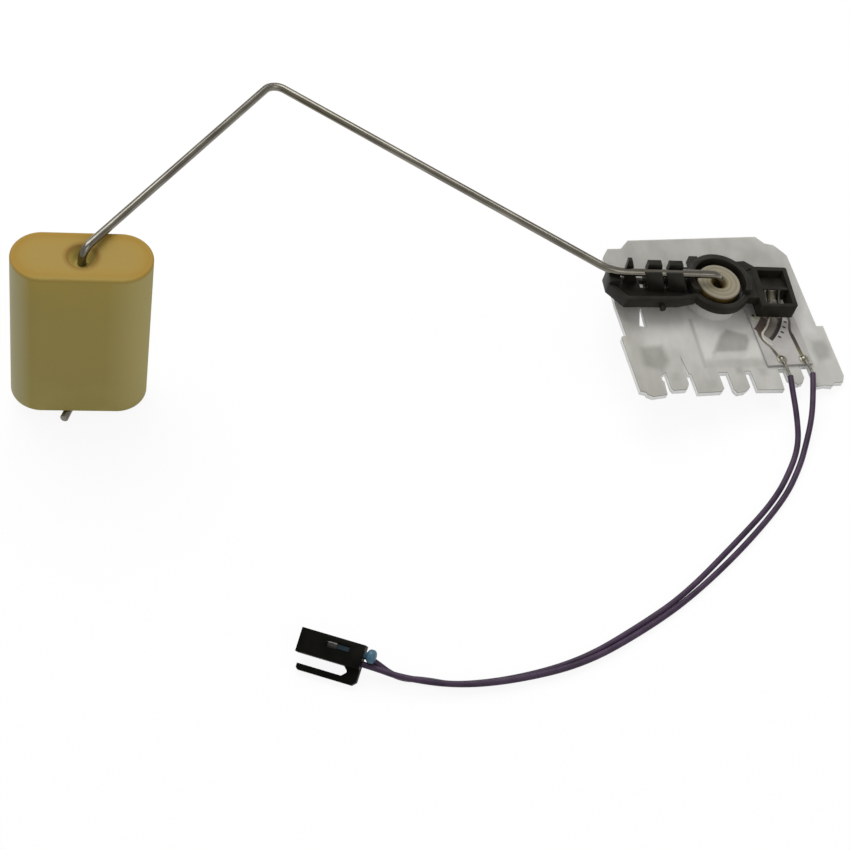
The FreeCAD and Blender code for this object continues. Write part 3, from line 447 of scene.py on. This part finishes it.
right_line = printed_line(
    "right_trace_line", [(19.6, -6.5), (19.38, -8.93), (18.78, -10.33), (18.35, -11.97),
                         (18.53, -13.64), (18.65, -15.3), (18.78, -17.4), (18.95, -19.77),
                         (19.1, -21.0)],
    [0.6, 0.6, 0.65, 0.8, 1.1, 1.1, 1.05, 1.05, 1.1], olive_ink, 0)
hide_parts("right_trace")


# Solder joints and bared cores: the leads' tinned copper strands, twisted, lie in bright domes of
# solder on round pads, each with a ring of cream flux residue round it.
# Solder freezes into a bright, slightly wrinkled mirror.
solder_metal, tree, shader, place = new_material("tin_solder", Roughness=0.28, Metallic=1.0)
mottle(tree, shader, place, 0.0008, "5f5d50", "a09d8f")
bumped(tree, shader, [(cloud(tree, place, 0.0007), 0.00004)])

# Flux dries to a glassy film, the colour of dull cream.
flux, tree, shader, place = new_material("dried_flux", Roughness=0.28, IOR=1.52)
mottle(tree, shader, place, 0.0009, "7a7661", "9b9883")

# Tinned strands are dull silver.
core_metal, tree, shader, place = new_material("tinned_copper_strand", Roughness=0.35, Metallic=1.0)
mottle(tree, shader, place, 0.0006, "6f6a60", "a19c92")

dome_profile = np.array([(0, 0.74), (0.25, 0.72), (0.5, 0.62), (0.7, 0.44), (0.88, 0.22),
                         (1.05, 0.08), (1.2, 0.02), (1.22, 0), (0, 0)])
ring_profile = np.array([(0.9, 0), (1.0, 0.08), (1.2, 0.12), (1.38, 0.07), (1.46, 0), (0.9, 0)])


CORE_RADIUS, STRAND_RISE, TWIST = 0.27, 0.12, 3.0


def twisted_core(name, points, made):
    """A bundle of six strands: a six-lobed section that turns once every 3 mm along its path, and
    narrows towards its first point."""
    points = np.array(points)
    steps = np.r_[0, np.cumsum(np.linalg.norm(np.diff(points, axis=0), axis=1))]
    along = np.linspace(0, steps[-1], 110)
    middle = np.stack([np.interp(along, steps, points[:, axis]) for axis in range(3)], -1)
    angle = np.linspace(0, 2 * np.pi, 48, endpoint=False)
    lobes = np.abs(np.cos(3 * (angle - 2 * np.pi * along[:, None] / TWIST)))
    radius = (CORE_RADIUS + STRAND_RISE * lobes) * np.clip(0.35 + along[:, None] / 0.9, 0, 1)
    ring = np.stack([radius * np.cos(angle), 0 * radius, radius * np.sin(angle)], -1)
    return surface(name, on_plate(middle[:, None] + ring), "base", made,
                   (False, True))


for side, pad, start in (("left", (13.0, -20.9), (13.0, -27.3)),
                         ("right", (19.2, -21.1), (19.5, -26.8))):
    surface(side + "_flux_ring", on_plate(turned_form(ring_profile, 48) + (*pad, CARD_FACE + 0.03)),
            "base", flux, (True, False))
    dome = surface(side + "_solder_dome",
                   on_plate(turned_form(dome_profile, 40) * (1, 1.15, 1) + (*pad, CARD_FACE + 0.05)),
                   "base", solder_metal, (True, False))
    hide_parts(side + "_solder_joint")
    core = twisted_core(side + "_core_bundle", [
        (*pad, 2.72), (pad[0], pad[1] - 1.5, 2.86), (start[0], start[1] + 2, 3.0), (*start, 3.0)],
        core_metal)
    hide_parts(side + "_lead_core")


# Plug: a two-way housing moulded in black nylon with its latch finger, a blue lock slid in from
# behind, and two folded terminals of tinned sheet, one of which shows in the housing's window.
PLUG_TURN = turned(2, -18.81) @ turned(0, 25)
PLUG_PLACE = np.array([-28.96, -100.97, 9.7 * math.sin(math.radians(25))])


def on_plug(points):
    """Metres, from millimetres in the plug's frame: x from its open end, -y to its latch."""
    return (PLUG_PLACE + np.asarray(points) @ PLUG_TURN.T) / 1000


# Black nylon with a fine moulded grain: matt, with only a faint broad sheen.
black, tree, shader, place = new_material("black_moulded_nylon", Roughness=0.5, IOR=1.5,
                                          Specular_IOR_Level=0.05)
mottle(tree, shader, place, 0.004, "070704", "100f0b")
bumped(tree, shader, [(cloud(tree, place, 0.003), 0.00005), (cloud(tree, place, 0.0003), 0.000008)])
housing = softened("plug_housing", "connector_housing", "base", 0.0002, black)

# Dyed nylon, a greyed blue, with painted shade that darkens it to nearly black deep inside the housing.
blue, tree, shader, place = new_material("blue_moulded_nylon", Roughness=0.35, IOR=1.5,
                                         Specular_IOR_Level=0.35)
painted_depth_shade = add(tree, "SeparateXYZ", {"Vector": in_frame(tree, place, PLUG_PLACE, PLUG_TURN)}).outputs[0]
painted_depth_shade = add(tree, "MapRange", {"Value": painted_depth_shade, "From Min": 8, "From Max": 20}).outputs[0]
wander = cloud(tree, place, 0.0012)
painted_depth_shade = add(tree, "MixRGB", {"Fac": 0.12, "Color1": painted_depth_shade, "Color2": wander}).outputs["Color"]
tint(tree, shader, painted_depth_shade, [(0.1, "14222b"), (0.4, "1d313d"), (0.62, "1f3b4c"), (0.72, "355a6d"),
                           (0.85, "456c80"), (0.97, "385c6e")])

# The lock's form ends where its round grip begins.
SLIDE_END = 16.58
lock = softened("lock_slide", "connector_lock", "base", 0.0002, blue)
mesh = bmesh.new()
mesh.from_mesh(lock.data)
bmesh.ops.bisect_plane(mesh, geom=mesh.verts[:] + mesh.edges[:] + mesh.faces[:], clear_outer=True,
                       plane_co=on_plug((SLIDE_END, 0, 0)).tolist(), plane_no=PLUG_TURN[:, 0].tolist())
bmesh.ops.holes_fill(mesh, edges=mesh.edges, sides=0)
mesh.to_mesh(lock.data)
mesh.free()


def rounded_grip(middle, half_length, radius, groove):
    """A round button whose radius falls to nothing at both ends as a superellipse of power 2.6,
    with a groove along its underside: points inside the groove's width rise to its roof."""
    share = np.sin(np.linspace(-np.pi / 2, np.pi / 2, 32))[:, None]
    angle = np.linspace(0, 2 * np.pi, 120, endpoint=False)
    reach = radius * (1 - np.abs(share) ** 2.6) ** (1 / 2.6)
    y, z = reach * np.cos(angle), reach * np.sin(angle)
    z = np.where((np.abs(y) < groove) & (z < -0.45), -0.45, z)
    return np.stack([half_length * share + 0 * y, y, z], -1) + middle


grip = surface("lock_grip", on_plug(rounded_grip(
    middle=(17.52, -2.05, 2.4), half_length=1.17, radius=1.68, groove=1.1)), "base",
    blue, (False, True))

# Tinned sheet, with a painted highlight along its folded far edge and painted shade between the folds.
tinned, tree, shader, place = new_material("tinned_sheet", Roughness=0.28, Metallic=1.0)
painted_fold_light = add(tree, "SeparateXYZ", {"Vector": in_frame(tree, place, PLUG_PLACE, PLUG_TURN)}).outputs[1]
painted_fold_light = add(tree, "MapRange", {"Value": painted_fold_light, "From Min": -2.8, "From Max": -1.3}).outputs[0]
wander = cloud(tree, place, 0.0009)
painted_fold_light = add(tree, "MixRGB", {"Fac": 0.2, "Color1": painted_fold_light, "Color2": wander}).outputs["Color"]
tint(tree, shader, painted_fold_light, [(0.3, "3a3833"), (0.55, "5b5953"), (0.68, "2c2a26"), (0.8, "c9c7c1")])
dress("left_terminal", tinned)
dress("right_terminal", tinned)


# Leads: two thin stranded wires in purple cross-linked insulation, soldered to the card and
# crimped into the plug. The insulation is extruded: smooth and satin, with a faint mottle.
insulation, tree, shader, place = new_material("purple_extruded_insulation", Roughness=0.42,
                                               IOR=1.5, Specular_IOR_Level=0.18)
mottle(tree, shader, place, 0.004, "35283a", "46364a")
bumped(tree, shader, [(cloud(tree, place, 0.0015), 0.00003)])

# The starts are in metres, the routes in millimetres: from the card, over the plate's edge, along
# the table and up to the plug.
LEAD_RADIUS = 0.00074
LEFT_START = (0.09144, -0.02810, 0.00639)
LEFT_ROUTE = [(91.6, -31.9, 6.0), (92.2, -38.6, 4.6), (92.3, -45.7, 2.6), (90.5, -51.6, 1.0),
              (85.1, -62.2, 0.75), (73.9, -75.3, 0.75), (61.0, -89.6, 0.75), (50.1, -98.0, 0.75),
              (36.1, -107.4, 0.75), (20.6, -112.5, 0.8), (6.2, -114.4, 0.85), (-1.0, -112.9, 0.95),
              (-7.5, -112.4, 0.75)]
RIGHT_START = (0.09750, -0.02614, 0.00498)
RIGHT_ROUTE = [(97.2, -30.5, 4.6), (96.3, -38.4, 3.2), (94.2, -46.0, 1.6), (92.0, -52.6, 0.8),
               (87.2, -62.3, 0.75), (75.7, -76.7, 0.75), (62.5, -90.3, 0.75), (51.1, -99.4, 1.0),
               (36.5, -108.9, 1.4), (20.5, -113.5, 1.7), (6.5, -115.25, 2.2), (-6.3, -113.75, 3.3)]


def lead(name, node, points):
    """A smooth NURBS curve with the lead's route as its control points, in metres."""
    curve = bpy.data.curves.new(name, "CURVE")
    curve.dimensions = "3D"
    curve.bevel_depth = LEAD_RADIUS
    curve.bevel_resolution = 6
    curve.resolution_u = 8
    curve.use_fill_caps = True
    spline = curve.splines.new("NURBS")
    spline.points.add(len(points) - 1)
    for point, spot in zip(spline.points, points):
        point.co = (*spot, 1)
    spline.order_u = 3
    spline.use_endpoint_u = True
    curve.materials.append(insulation)
    piece = bpy.data.objects.new(name, curve)
    scene.collection.objects.link(piece)
    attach(piece, "base")
    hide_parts(node)
    return piece


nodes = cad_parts
for side, start, route, into_port, length, plug_pieces in (
        ("left", LEFT_START, LEFT_ROUTE, [(17.86, -2.68, 0.76), (15.4, -2.1, 1.15), (12.4, -2.05, 1.25)],
         0.1599, [housing, lock, grip, nodes["left_terminal"]]),
        ("right", RIGHT_START, RIGHT_ROUTE, [(18.7, -4.25, 1.25), (12.4, -4.25, 1.25)],
         0.1642, [nodes["right_terminal"]])):
    spots = [start] + [tuple(np.array(spot) / 1000) for spot in route]
    spots += [tuple(spot) for spot in on_plug(into_port)]
    sheath = lead(side + "_lead_sheath", side + "_lead", spots)


# Wiper carrier: a black acetal moulding that turns on the bush, with two snap clips for the wire.
# The mould leaves it satin, with soft highlights along its rounded edges.
carrier_black, tree, shader, place = new_material("black_moulded_acetal", Roughness=0.42, IOR=1.48,
                                                  Specular_IOR_Level=0.22)
mottle(tree, shader, place, 0.005, "171510", "25231c")
bumped(tree, shader, [(cloud(tree, place, 0.003), 0.00006), (cloud(tree, place, 0.0003), 0.000008)])
rotor = softened("wiper_rotor", "wiper_carrier", "swing", 0.00014, carrier_black)

ARM_TURN = PLATE_TURN @ turned(2, -4.46)


def on_arm(points):
    """Metres, from millimetres in the carrier's frame, which turns with the joint."""
    return (HUB + np.asarray(points) @ ARM_TURN.T) / 1000


# The bar across the wiper box stands a little lower than the rim. Behind it a ramp, moulded to
# keep the walls even, falls away to the box's back wall.
BOX_INSIDE = (11.69, 18.89)
BAR_TOP = 8.1
over_bar = bpy.data.meshes.new("over_bar")
over_bar.from_pydata(on_arm([(x, y, z) for z in (BAR_TOP, 9.2) for y in (-1.6, -0.65)
                             for x in BOX_INSIDE]).tolist(), [],
                     [(0, 2, 3, 1), (4, 5, 7, 6), (0, 1, 5, 4), (2, 6, 7, 3), (0, 4, 6, 2), (1, 3, 7, 5)])
over_bar = bpy.data.objects.new("over_bar", over_bar)
scene.collection.objects.link(over_bar)
lower = rotor.modifiers.new("lower_bar", "BOOLEAN")
lower.object = over_bar
lower.solver = "EXACT"
rotor.modifiers.move(1, 0)
rotor.modifiers["edge_round"].show_viewport = False
rotor.data = bpy.data.meshes.new_from_object(
    rotor.evaluated_get(bpy.context.evaluated_depsgraph_get()))
rotor.data.shade_smooth()
rotor.modifiers.remove(lower)
rotor.modifiers["edge_round"].show_viewport = True
bpy.data.objects.remove(over_bar)
ramp_section = np.array([(-0.76, 8.08), (4.54, 6.2), (4.54, 5.9), (-0.76, 7.8)])
ramp_points = np.stack(np.broadcast_arrays(
    np.array(BOX_INSIDE)[:, None], ramp_section[:, 0], ramp_section[:, 1]), -1)
box_ramp = surface("box_ramp", on_arm(ramp_points), "swing", carrier_black,
                   (False, True))
box_ramp.data.shade_flat()


# Wiper contact: one sheet of nickel silver with three spring fingers, staked under the carrier.
# Rolling leaves nickel silver warm and bright, with soft streaks along the sheet.
nickel_silver, tree, shader, place = new_material("rolled_nickel_silver", Roughness=0.38,
                                                  Metallic=1.0)
mottle(tree, shader, place, 0.0016, "a8a392", "dedace", (0.5, 2, 0.5))
dress("wiper_contact", nickel_silver)

LEAF_PROFILE = np.array([(-1.6, 7.8), (-1.66, 6.5), (-1.8, 5.3), (-2.2, 4.3), (-2.8, 3.5), (-3.5, 3.0)])
LEAF_THICKNESS = (0.12, 0.06)


def leaf(name, top, bottom):
    """A spring leaf: a side profile from the bar down to the card, given a width that slides from
    top to bottom along it, and a thin section whose corners are its two faces."""
    along = np.linspace(0, 1, 40)
    share = np.linspace(0, 1, len(LEAF_PROFILE))
    front = np.stack([np.interp(along, share, LEAF_PROFILE[:, axis]) for axis in (0, 1)], -1)
    front[1:-1] = (front[:-2] + front[1:-1] + front[2:]) / 3
    edges = np.array(top) + along[:, None] * (np.array(bottom) - top)
    left, right = edges[:, 0], edges[:, 1]
    back = front + LEAF_THICKNESS
    corners = [np.column_stack([side, face]) for side, face in (
        (left, front), (right, front), (right, back), (left, back))]
    return surface(name, on_arm(np.stack(corners, 1)), "swing", nickel_silver,
                   (False, True))


leaf("outer_leaf", (12.3, 12.95), (14.6, 15.2))
leaf("broad_leaf", (13.4, 15.75), (15.4, 17.45))
leaf("inner_leaf", (16.3, 16.95), (18.2, 18.75))


# Arm wire: hard-drawn stainless wire, bent cold. The die leaves it grey and satin, with fine lines
# along it that follow every bend.
FLOAT_CORNER = np.array([-162.22, 1.69, 11.6])
FLOAT_LEAN = turned(1, -4.74) @ turned(0, -0.73) @ turned(2, -3.78)


def bent_path(corners, radii, step):
    """Straight runs through corners, with a tangent arc of the given radius at each inner one."""
    pieces = [corners[:1]]
    for before, corner, after, radius in zip(corners, corners[1:], corners[2:], radii):
        back = (before - corner) / np.linalg.norm(before - corner)
        ahead = (after - corner) / np.linalg.norm(after - corner)
        half = np.arccos(back @ ahead) / 2
        bisector = (back + ahead) / np.linalg.norm(back + ahead)
        centre = corner + bisector * radius / np.sin(half)
        start = corner + back * radius / np.tan(half) - centre
        turn = np.pi - 2 * half
        angle = np.linspace(0, turn, 2 + int(turn * radius / step))[:, None]
        pieces.append(centre + np.cos(angle) * start - np.sin(angle) * radius * back)
    return np.vstack([*pieces, corners[-1:]])


# From the bush the wire rises, runs level over the clips, bends twice to the float, and goes down
# through it to a short foot.
WIRE_RADIUS, ARM_LEVEL, FOOT_LEVEL, FOOT_REACH = 1.05, 11.6, -53.15, 9.95
BEND_RADII = (3, 11, 3.7, 3, 2.2)
heading = math.radians(-112)
foot = FLOAT_LEAN @ (FOOT_REACH * math.cos(heading), FOOT_REACH * math.sin(heading), FOOT_LEVEL)
corners = np.array([(0, 0, 0.8), (0, 0, ARM_LEVEL), (-29.84, 0, ARM_LEVEL),
                    (-109.67, 60.96, ARM_LEVEL), FLOAT_CORNER,
                    FLOAT_CORNER + FLOAT_LEAN @ (0, 0, FOOT_LEVEL), FLOAT_CORNER + foot])
path = bent_path(corners, BEND_RADII, 0.35)

# Its cut ends are chamfered over 0.2 mm and closed by a disc. The sections are squared against one
# direction that no run of the wire follows.
CHAMFER, CUT_RADIUS = 0.2, 0.88
start_cut = path[0] + (path[1] - path[0]) * CHAMFER / np.linalg.norm(path[1] - path[0])
end_cut = path[-1] + (path[-2] - path[-1]) * CHAMFER / np.linalg.norm(path[-2] - path[-1])
path = np.vstack([path[:1], path[:1] + 1e-4 * (start_cut - path[0]), start_cut, path[1:-1],
                  end_cut, path[-1:] + 1e-4 * (end_cut - path[-1]), path[-1:]])
way = np.gradient(path, axis=0)
way /= np.linalg.norm(way, axis=1)[:, None]
across = np.cross(way, (0.1, 0.8, -0.6))
across /= np.linalg.norm(across, axis=1)[:, None]
over = np.cross(way, across)
wire_radius = np.full(len(path), WIRE_RADIUS)
wire_radius[[0, -1]] = 0
wire_radius[[1, -2]] = CUT_RADIUS
angle = np.linspace(0, 2 * np.pi, 33)
ring = wire_radius[:, None, None] * (np.cos(angle)[:, None] * across[:, None]
                                     + np.sin(angle)[:, None] * over[:, None])
wire_points = path[:, None] + ring
run = np.r_[0, np.cumsum(np.linalg.norm(np.diff(path, axis=0), axis=1))]
marks = np.stack(np.broadcast_arrays(run[:, None], angle * WIRE_RADIUS), -1)

# Drawn steel is a grey mirror, blurred by the die's lines. They are some hundredths of a
# millimetre wide; here they are 0.3 mm wide, so that they show.
steel, tree, shader, place = new_material("drawn_stainless_wire", Roughness=0.22, Metallic=1.0)
along = add(tree, "UVMap", uv_map="along").outputs["UV"]
lines = add(tree, "Mapping", {"Vector": along, "Scale": (0.05, 3.0, 1)}).outputs[0]
lines = add(tree, "TexNoise", {"Vector": lines, "Scale": 1.0, "Detail": 4.0}).outputs["Fac"]
blotch = add(tree, "Mapping", {"Vector": along, "Scale": (0.12, 0.3, 1)}).outputs[0]
blotch = add(tree, "TexNoise", {"Vector": blotch, "Scale": 1.0, "Detail": 3.0}).outputs["Fac"]
level = add(tree, "MixRGB", {"Fac": 0.5, "Color1": lines, "Color2": blotch}).outputs["Color"]
tint(tree, shader, level, [(0.35, "645f57"), (0.5, "7a766c"), (0.65, "928e84")])
bumped(tree, shader, [(lines, 0.00003)])

wire = surface("bent_wire", on_arm(wire_points), "swing", steel, marks=marks)
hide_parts("float_arm")


# Float: a block of closed-cell nitrile foam, cut to an oval and drilled for the wire. Its top is
# coloured more amber round the rim and darker amber in the dimple where the wire presses into it.
FLOAT_FLAT, FLOAT_ROUND, FLOAT_TOP, FLOAT_BOTTOM = 9.2, 7.8, -2.1, -52.0


def oval(count, inset):
    """Points round the block's outline, moved in by inset: two half circles and two straight
    runs, in equal steps of length. The result has a row for each inset."""
    straight, curved = 2 * FLOAT_FLAT, np.pi * FLOAT_ROUND
    length = np.linspace(0, 2 * (straight + curved), count, endpoint=False) + 1e-6
    half = length % (straight + curved)
    side = np.where(length < straight + curved, 1.0, -1.0)
    turn = np.clip(half - straight, 0, curved) / FLOAT_ROUND
    reach = FLOAT_ROUND - np.asarray(inset)[:, None]
    x = FLOAT_FLAT - np.clip(straight - half, 0, None) + reach * np.sin(turn)
    y = -reach * np.cos(turn)
    return np.stack([side * x, side * y], -1)


# The caps run inwards from the rim to the bore. On the top one the wire presses a dimple 2.5 mm
# deep, and a shallow crease runs on from it.
COUNT, BORE, RIM = 220, 1.11, 0.7
DIMPLE_DEPTH, DIMPLE_EDGE, DIMPLE_SLOPE = 2.5, 4.0, 2.7
CREASE_DEPTH, CREASE_WIDTH, CREASE_HEADING = 0.5, 1.6, math.radians(58)
quarter = np.linspace(0, np.pi / 2, 8)
inward = np.linspace(1, 0, 46)[1:] ** 1.15
outline = oval(COUNT, [RIM])[0]
heading = np.arctan2(outline[:, 1], outline[:, 0])
mouth = BORE * np.stack([np.cos(heading), np.sin(heading)], -1)
cap = mouth + inward[:, None, None] * (outline - mouth)
far = np.linalg.norm(cap, axis=-1)
fade = np.clip((DIMPLE_EDGE - far) / DIMPLE_SLOPE, 0, 1)
dip = DIMPLE_DEPTH * fade ** 2 * (3 - 2 * fade)
way = np.array([math.cos(CREASE_HEADING), math.sin(CREASE_HEADING)])
beside = cap[..., 0] * way[1] - cap[..., 1] * way[0]
onward = cap @ way
crease = CREASE_DEPTH * np.exp(-(beside / CREASE_WIDTH) ** 2) * np.clip(onward / 3, 0, 1)
crease *= np.clip((far - 2) / 2, 0, 1) * np.clip((8 - np.abs(onward)) / 4, 0, 1)


def level_rows(flat_rows, heights):
    """Rows of points with a height for each row, or for each of their points."""
    heights = np.broadcast_to(heights, flat_rows.shape[:2])
    return np.concatenate([flat_rows, heights[..., None]], -1)


side_levels = np.linspace(FLOAT_BOTTOM + RIM, FLOAT_TOP - RIM, 26)
top_rim = level_rows(oval(COUNT, RIM - RIM * np.cos(quarter)),
                     (FLOAT_TOP - RIM + RIM * np.sin(quarter))[:, None])
bottom_rim = level_rows(oval(COUNT, RIM - RIM * np.cos(quarter)),
                        (FLOAT_BOTTOM + RIM - RIM * np.sin(quarter))[:, None])[::-1]
wall = level_rows(np.repeat(oval(COUNT, [0.0]), 24, axis=0), side_levels[1:-1, None])
top_cap = level_rows(cap, FLOAT_TOP - dip - crease)
bottom_cap = level_rows(cap, FLOAT_BOTTOM)[::-1]
float_grid = np.concatenate([bottom_cap, bottom_rim, wall, top_rim, top_cap])

# Closed-cell foam is matt ochre and faintly uneven. Its sides carry painted reflection: paler
# towards both ends and along the bottom edge.
foam, tree, shader, place = new_material("nitrile_foam", Roughness=0.75, IOR=1.5,
                                         Specular_IOR_Level=0.25)
spot = in_frame(tree, place, HUB + ARM_TURN @ FLOAT_CORNER, ARM_TURN @ FLOAT_LEAN)
split = add(tree, "SeparateXYZ", {"Vector": spot})
# The top is tinted by the distance from its long middle line, which follows the rim, and by the
# distance from the bore; the sides are tinted from the bottom up, and towards both ends.
ends = add(tree, "Math", {0: split.outputs[0]}, operation="ABSOLUTE").outputs[0]
ends = add(tree, "Math", {0: ends, 1: FLOAT_FLAT}, operation="SUBTRACT").outputs[0]
ends = add(tree, "Math", {0: ends, 1: 0}, operation="MAXIMUM").outputs[0]
reach = add(tree, "CombineXYZ", {"X": ends, "Y": split.outputs[1]}).outputs[0]
reach = add(tree, "VectorMath", {0: reach}, operation="LENGTH").outputs["Value"]
wander = cloud(tree, place, 0.007)
reach = add(tree, "MapRange", {"Value": reach, "From Max": 8.0}).outputs[0]
reach = add(tree, "MixRGB", {"Fac": 0.12, "Color1": reach, "Color2": wander}).outputs["Color"]
top_colour = add(tree, "ValToRGB", {"Fac": reach}, stops=[
    (0.4, "9c8342"), (0.62, "9c813c"), (0.78, "9b7a31"), (0.9, "9e8038")]).outputs[0]
near = add(tree, "MapRange", {"Value": split.outputs[1], "From Min": -5.6, "From Max": -7.2}).outputs[0]
top_colour = add(tree, "MixRGB", {"Fac": near, "Color1": top_colour,
                                  "Color2": linear("98823f")}).outputs["Color"]
ring = add(tree, "MapRange", {"Value": off_axis(tree, spot), "From Max": 6.0}).outputs[0]
ring = add(tree, "ValToRGB", {"Fac": ring}, stops=[
    (0.2, "c0c0c0"), (0.42, "909090"), (0.62, "c8c8c8"), (0.82, "000000")]).outputs[0]
top_colour = add(tree, "MixRGB", {"Fac": ring, "Color1": top_colour,
                                  "Color2": linear("744c12")}).outputs["Color"]
low = add(tree, "MapRange", {"Value": split.outputs[2], "From Min": -52, "From Max": -2}).outputs[0]
low = add(tree, "MixRGB", {"Fac": 0.25, "Color1": low, "Color2": wander}).outputs["Color"]
# The lowest stop is a painted reflection: a paler band along the bottom edge, standing in for light thrown
# up from the white table.
side_colour_and_reflection = add(tree, "ValToRGB", {"Fac": low}, stops=[
    (0.06, "b6aa6f"), (0.14, "a69857"), (0.3, "a09153"), (0.7, "a1904f"), (0.92, "a89348")]).outputs[0]
# Painted reflection: the sides are painted paler towards both ends, yellower at +x and greyer at -x.
for first, last, shade in ((6.0, 16.0, "b5a86e"), (-12.0, -16.5, "bcb58f")):
    end_reflection = add(tree, "MapRange", {"Value": split.outputs[0], "From Min": first, "From Max": last})
    side_colour_and_reflection = add(tree, "MixRGB", {"Fac": end_reflection.outputs[0], "Color1": side_colour_and_reflection,
                                       "Color2": linear(shade)}).outputs["Color"]
upper = add(tree, "MapRange", {"Value": split.outputs[2], "From Min": -3.1, "From Max": -2.3}).outputs[0]
colour = add(tree, "MixRGB", {"Fac": upper, "Color1": side_colour_and_reflection, "Color2": top_colour}).outputs["Color"]
tree.links.new(colour, shader.inputs["Base Color"])
bumped(tree, shader, [(cloud(tree, place, 0.009), 0.0002), (cloud(tree, place, 0.0005), 0.00002)])

float_block = surface("foam_block", on_arm(FLOAT_CORNER + float_grid @ FLOAT_LEAN.T), "swing",
                      foam, (True, True))
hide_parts("foam_float")


# Surface, light and camera: the sender lies on a white table under a broad soft light from above
# and behind. A long lens looks down on it from the plug's side.
def area_light(name, spot, size, power):
    """A square lamp that faces the sender."""
    lamp = bpy.data.lights.new(name, "AREA")
    lamp.size = size
    lamp.energy = power
    holder = bpy.data.objects.new(name, lamp)
    holder.location = spot
    holder.rotation_euler = (math.atan2(math.hypot(spot[0], spot[1]), spot[2]), 0,
                             math.atan2(spot[0], -spot[1]))
    scene.collection.objects.link(holder)


area_light("overhead", (-0.15, 0.45, 0.85), 0.8, 6.9)
area_light("front", (0.5, -0.7, 0.7), 0.7, 2.0)

world = bpy.data.worlds.new("studio")
world.use_nodes = True
world.node_tree.nodes["Background"].inputs["Color"].default_value = (1, 1, 1, 1)
world.node_tree.nodes["Background"].inputs["Strength"].default_value = 0.5
scene.world = world

# A lit white board: the eye sees it burnt out to white, with only soft shadows left on it, while
# what it throws back on the sender is a duller grey.
table = bpy.data.materials.new("white_table")
table.use_nodes = True
tree = table.node_tree
tree.nodes.remove(tree.nodes["Principled BSDF"])
rays = add(tree, "LightPath").outputs
seen = add(tree, "Math", {0: rays["Is Camera Ray"], 1: rays["Is Glossy Ray"]},
           operation="MAXIMUM").outputs[0]
seen = add(tree, "Math", {0: seen, 1: rays["Is Transmission Ray"]}, operation="MAXIMUM").outputs[0]
matt = add(tree, "BsdfDiffuse", {"Color": linear("f6f6f5")}).outputs[0]
glow = add(tree, "Emission", {"Color": (1, 1, 1, 1), "Strength": 1.0}).outputs[0]
bright = add(tree, "MixShader", {"Fac": 0.9, 1: matt, 2: glow}).outputs[0]
dull = add(tree, "BsdfDiffuse", {"Color": linear("b4b4b2")}).outputs[0]
both = add(tree, "MixShader", {"Fac": seen, 1: dull, 2: bright}).outputs[0]
tree.links.new(both, tree.nodes["Material Output"].inputs["Surface"])

TABLE_REACH = 1.5
board = bpy.data.meshes.new("table_top")
board.from_pydata([(x * TABLE_REACH, y * TABLE_REACH, 0) for x, y in ((-1, -1), (1, -1), (1, 1), (-1, 1))],
                  [], [(0, 1, 2, 3)])
table_top = bpy.data.objects.new("table_top", board)
board.materials.append(table)
scene.collection.objects.link(table_top)

# The place, the tilt and the focal length, 2236 pixels for a picture of 850, were worked out from
# the photograph's perspective.
SENSOR, FOCAL_PIXELS, PICTURE_PIXELS = 36, 2236, 850
camera = bpy.data.objects.new("camera", bpy.data.cameras.new("camera"))
camera.data.sensor_width = SENSOR
camera.data.lens = SENSOR * FOCAL_PIXELS / PICTURE_PIXELS
camera.data.clip_start = 0.05
camera.location = (-0.00092, -0.37362, 0.45362)
camera.rotation_euler = (math.radians(36.44), 0, 0)
scene.collection.objects.link(camera)
scene.camera = camera
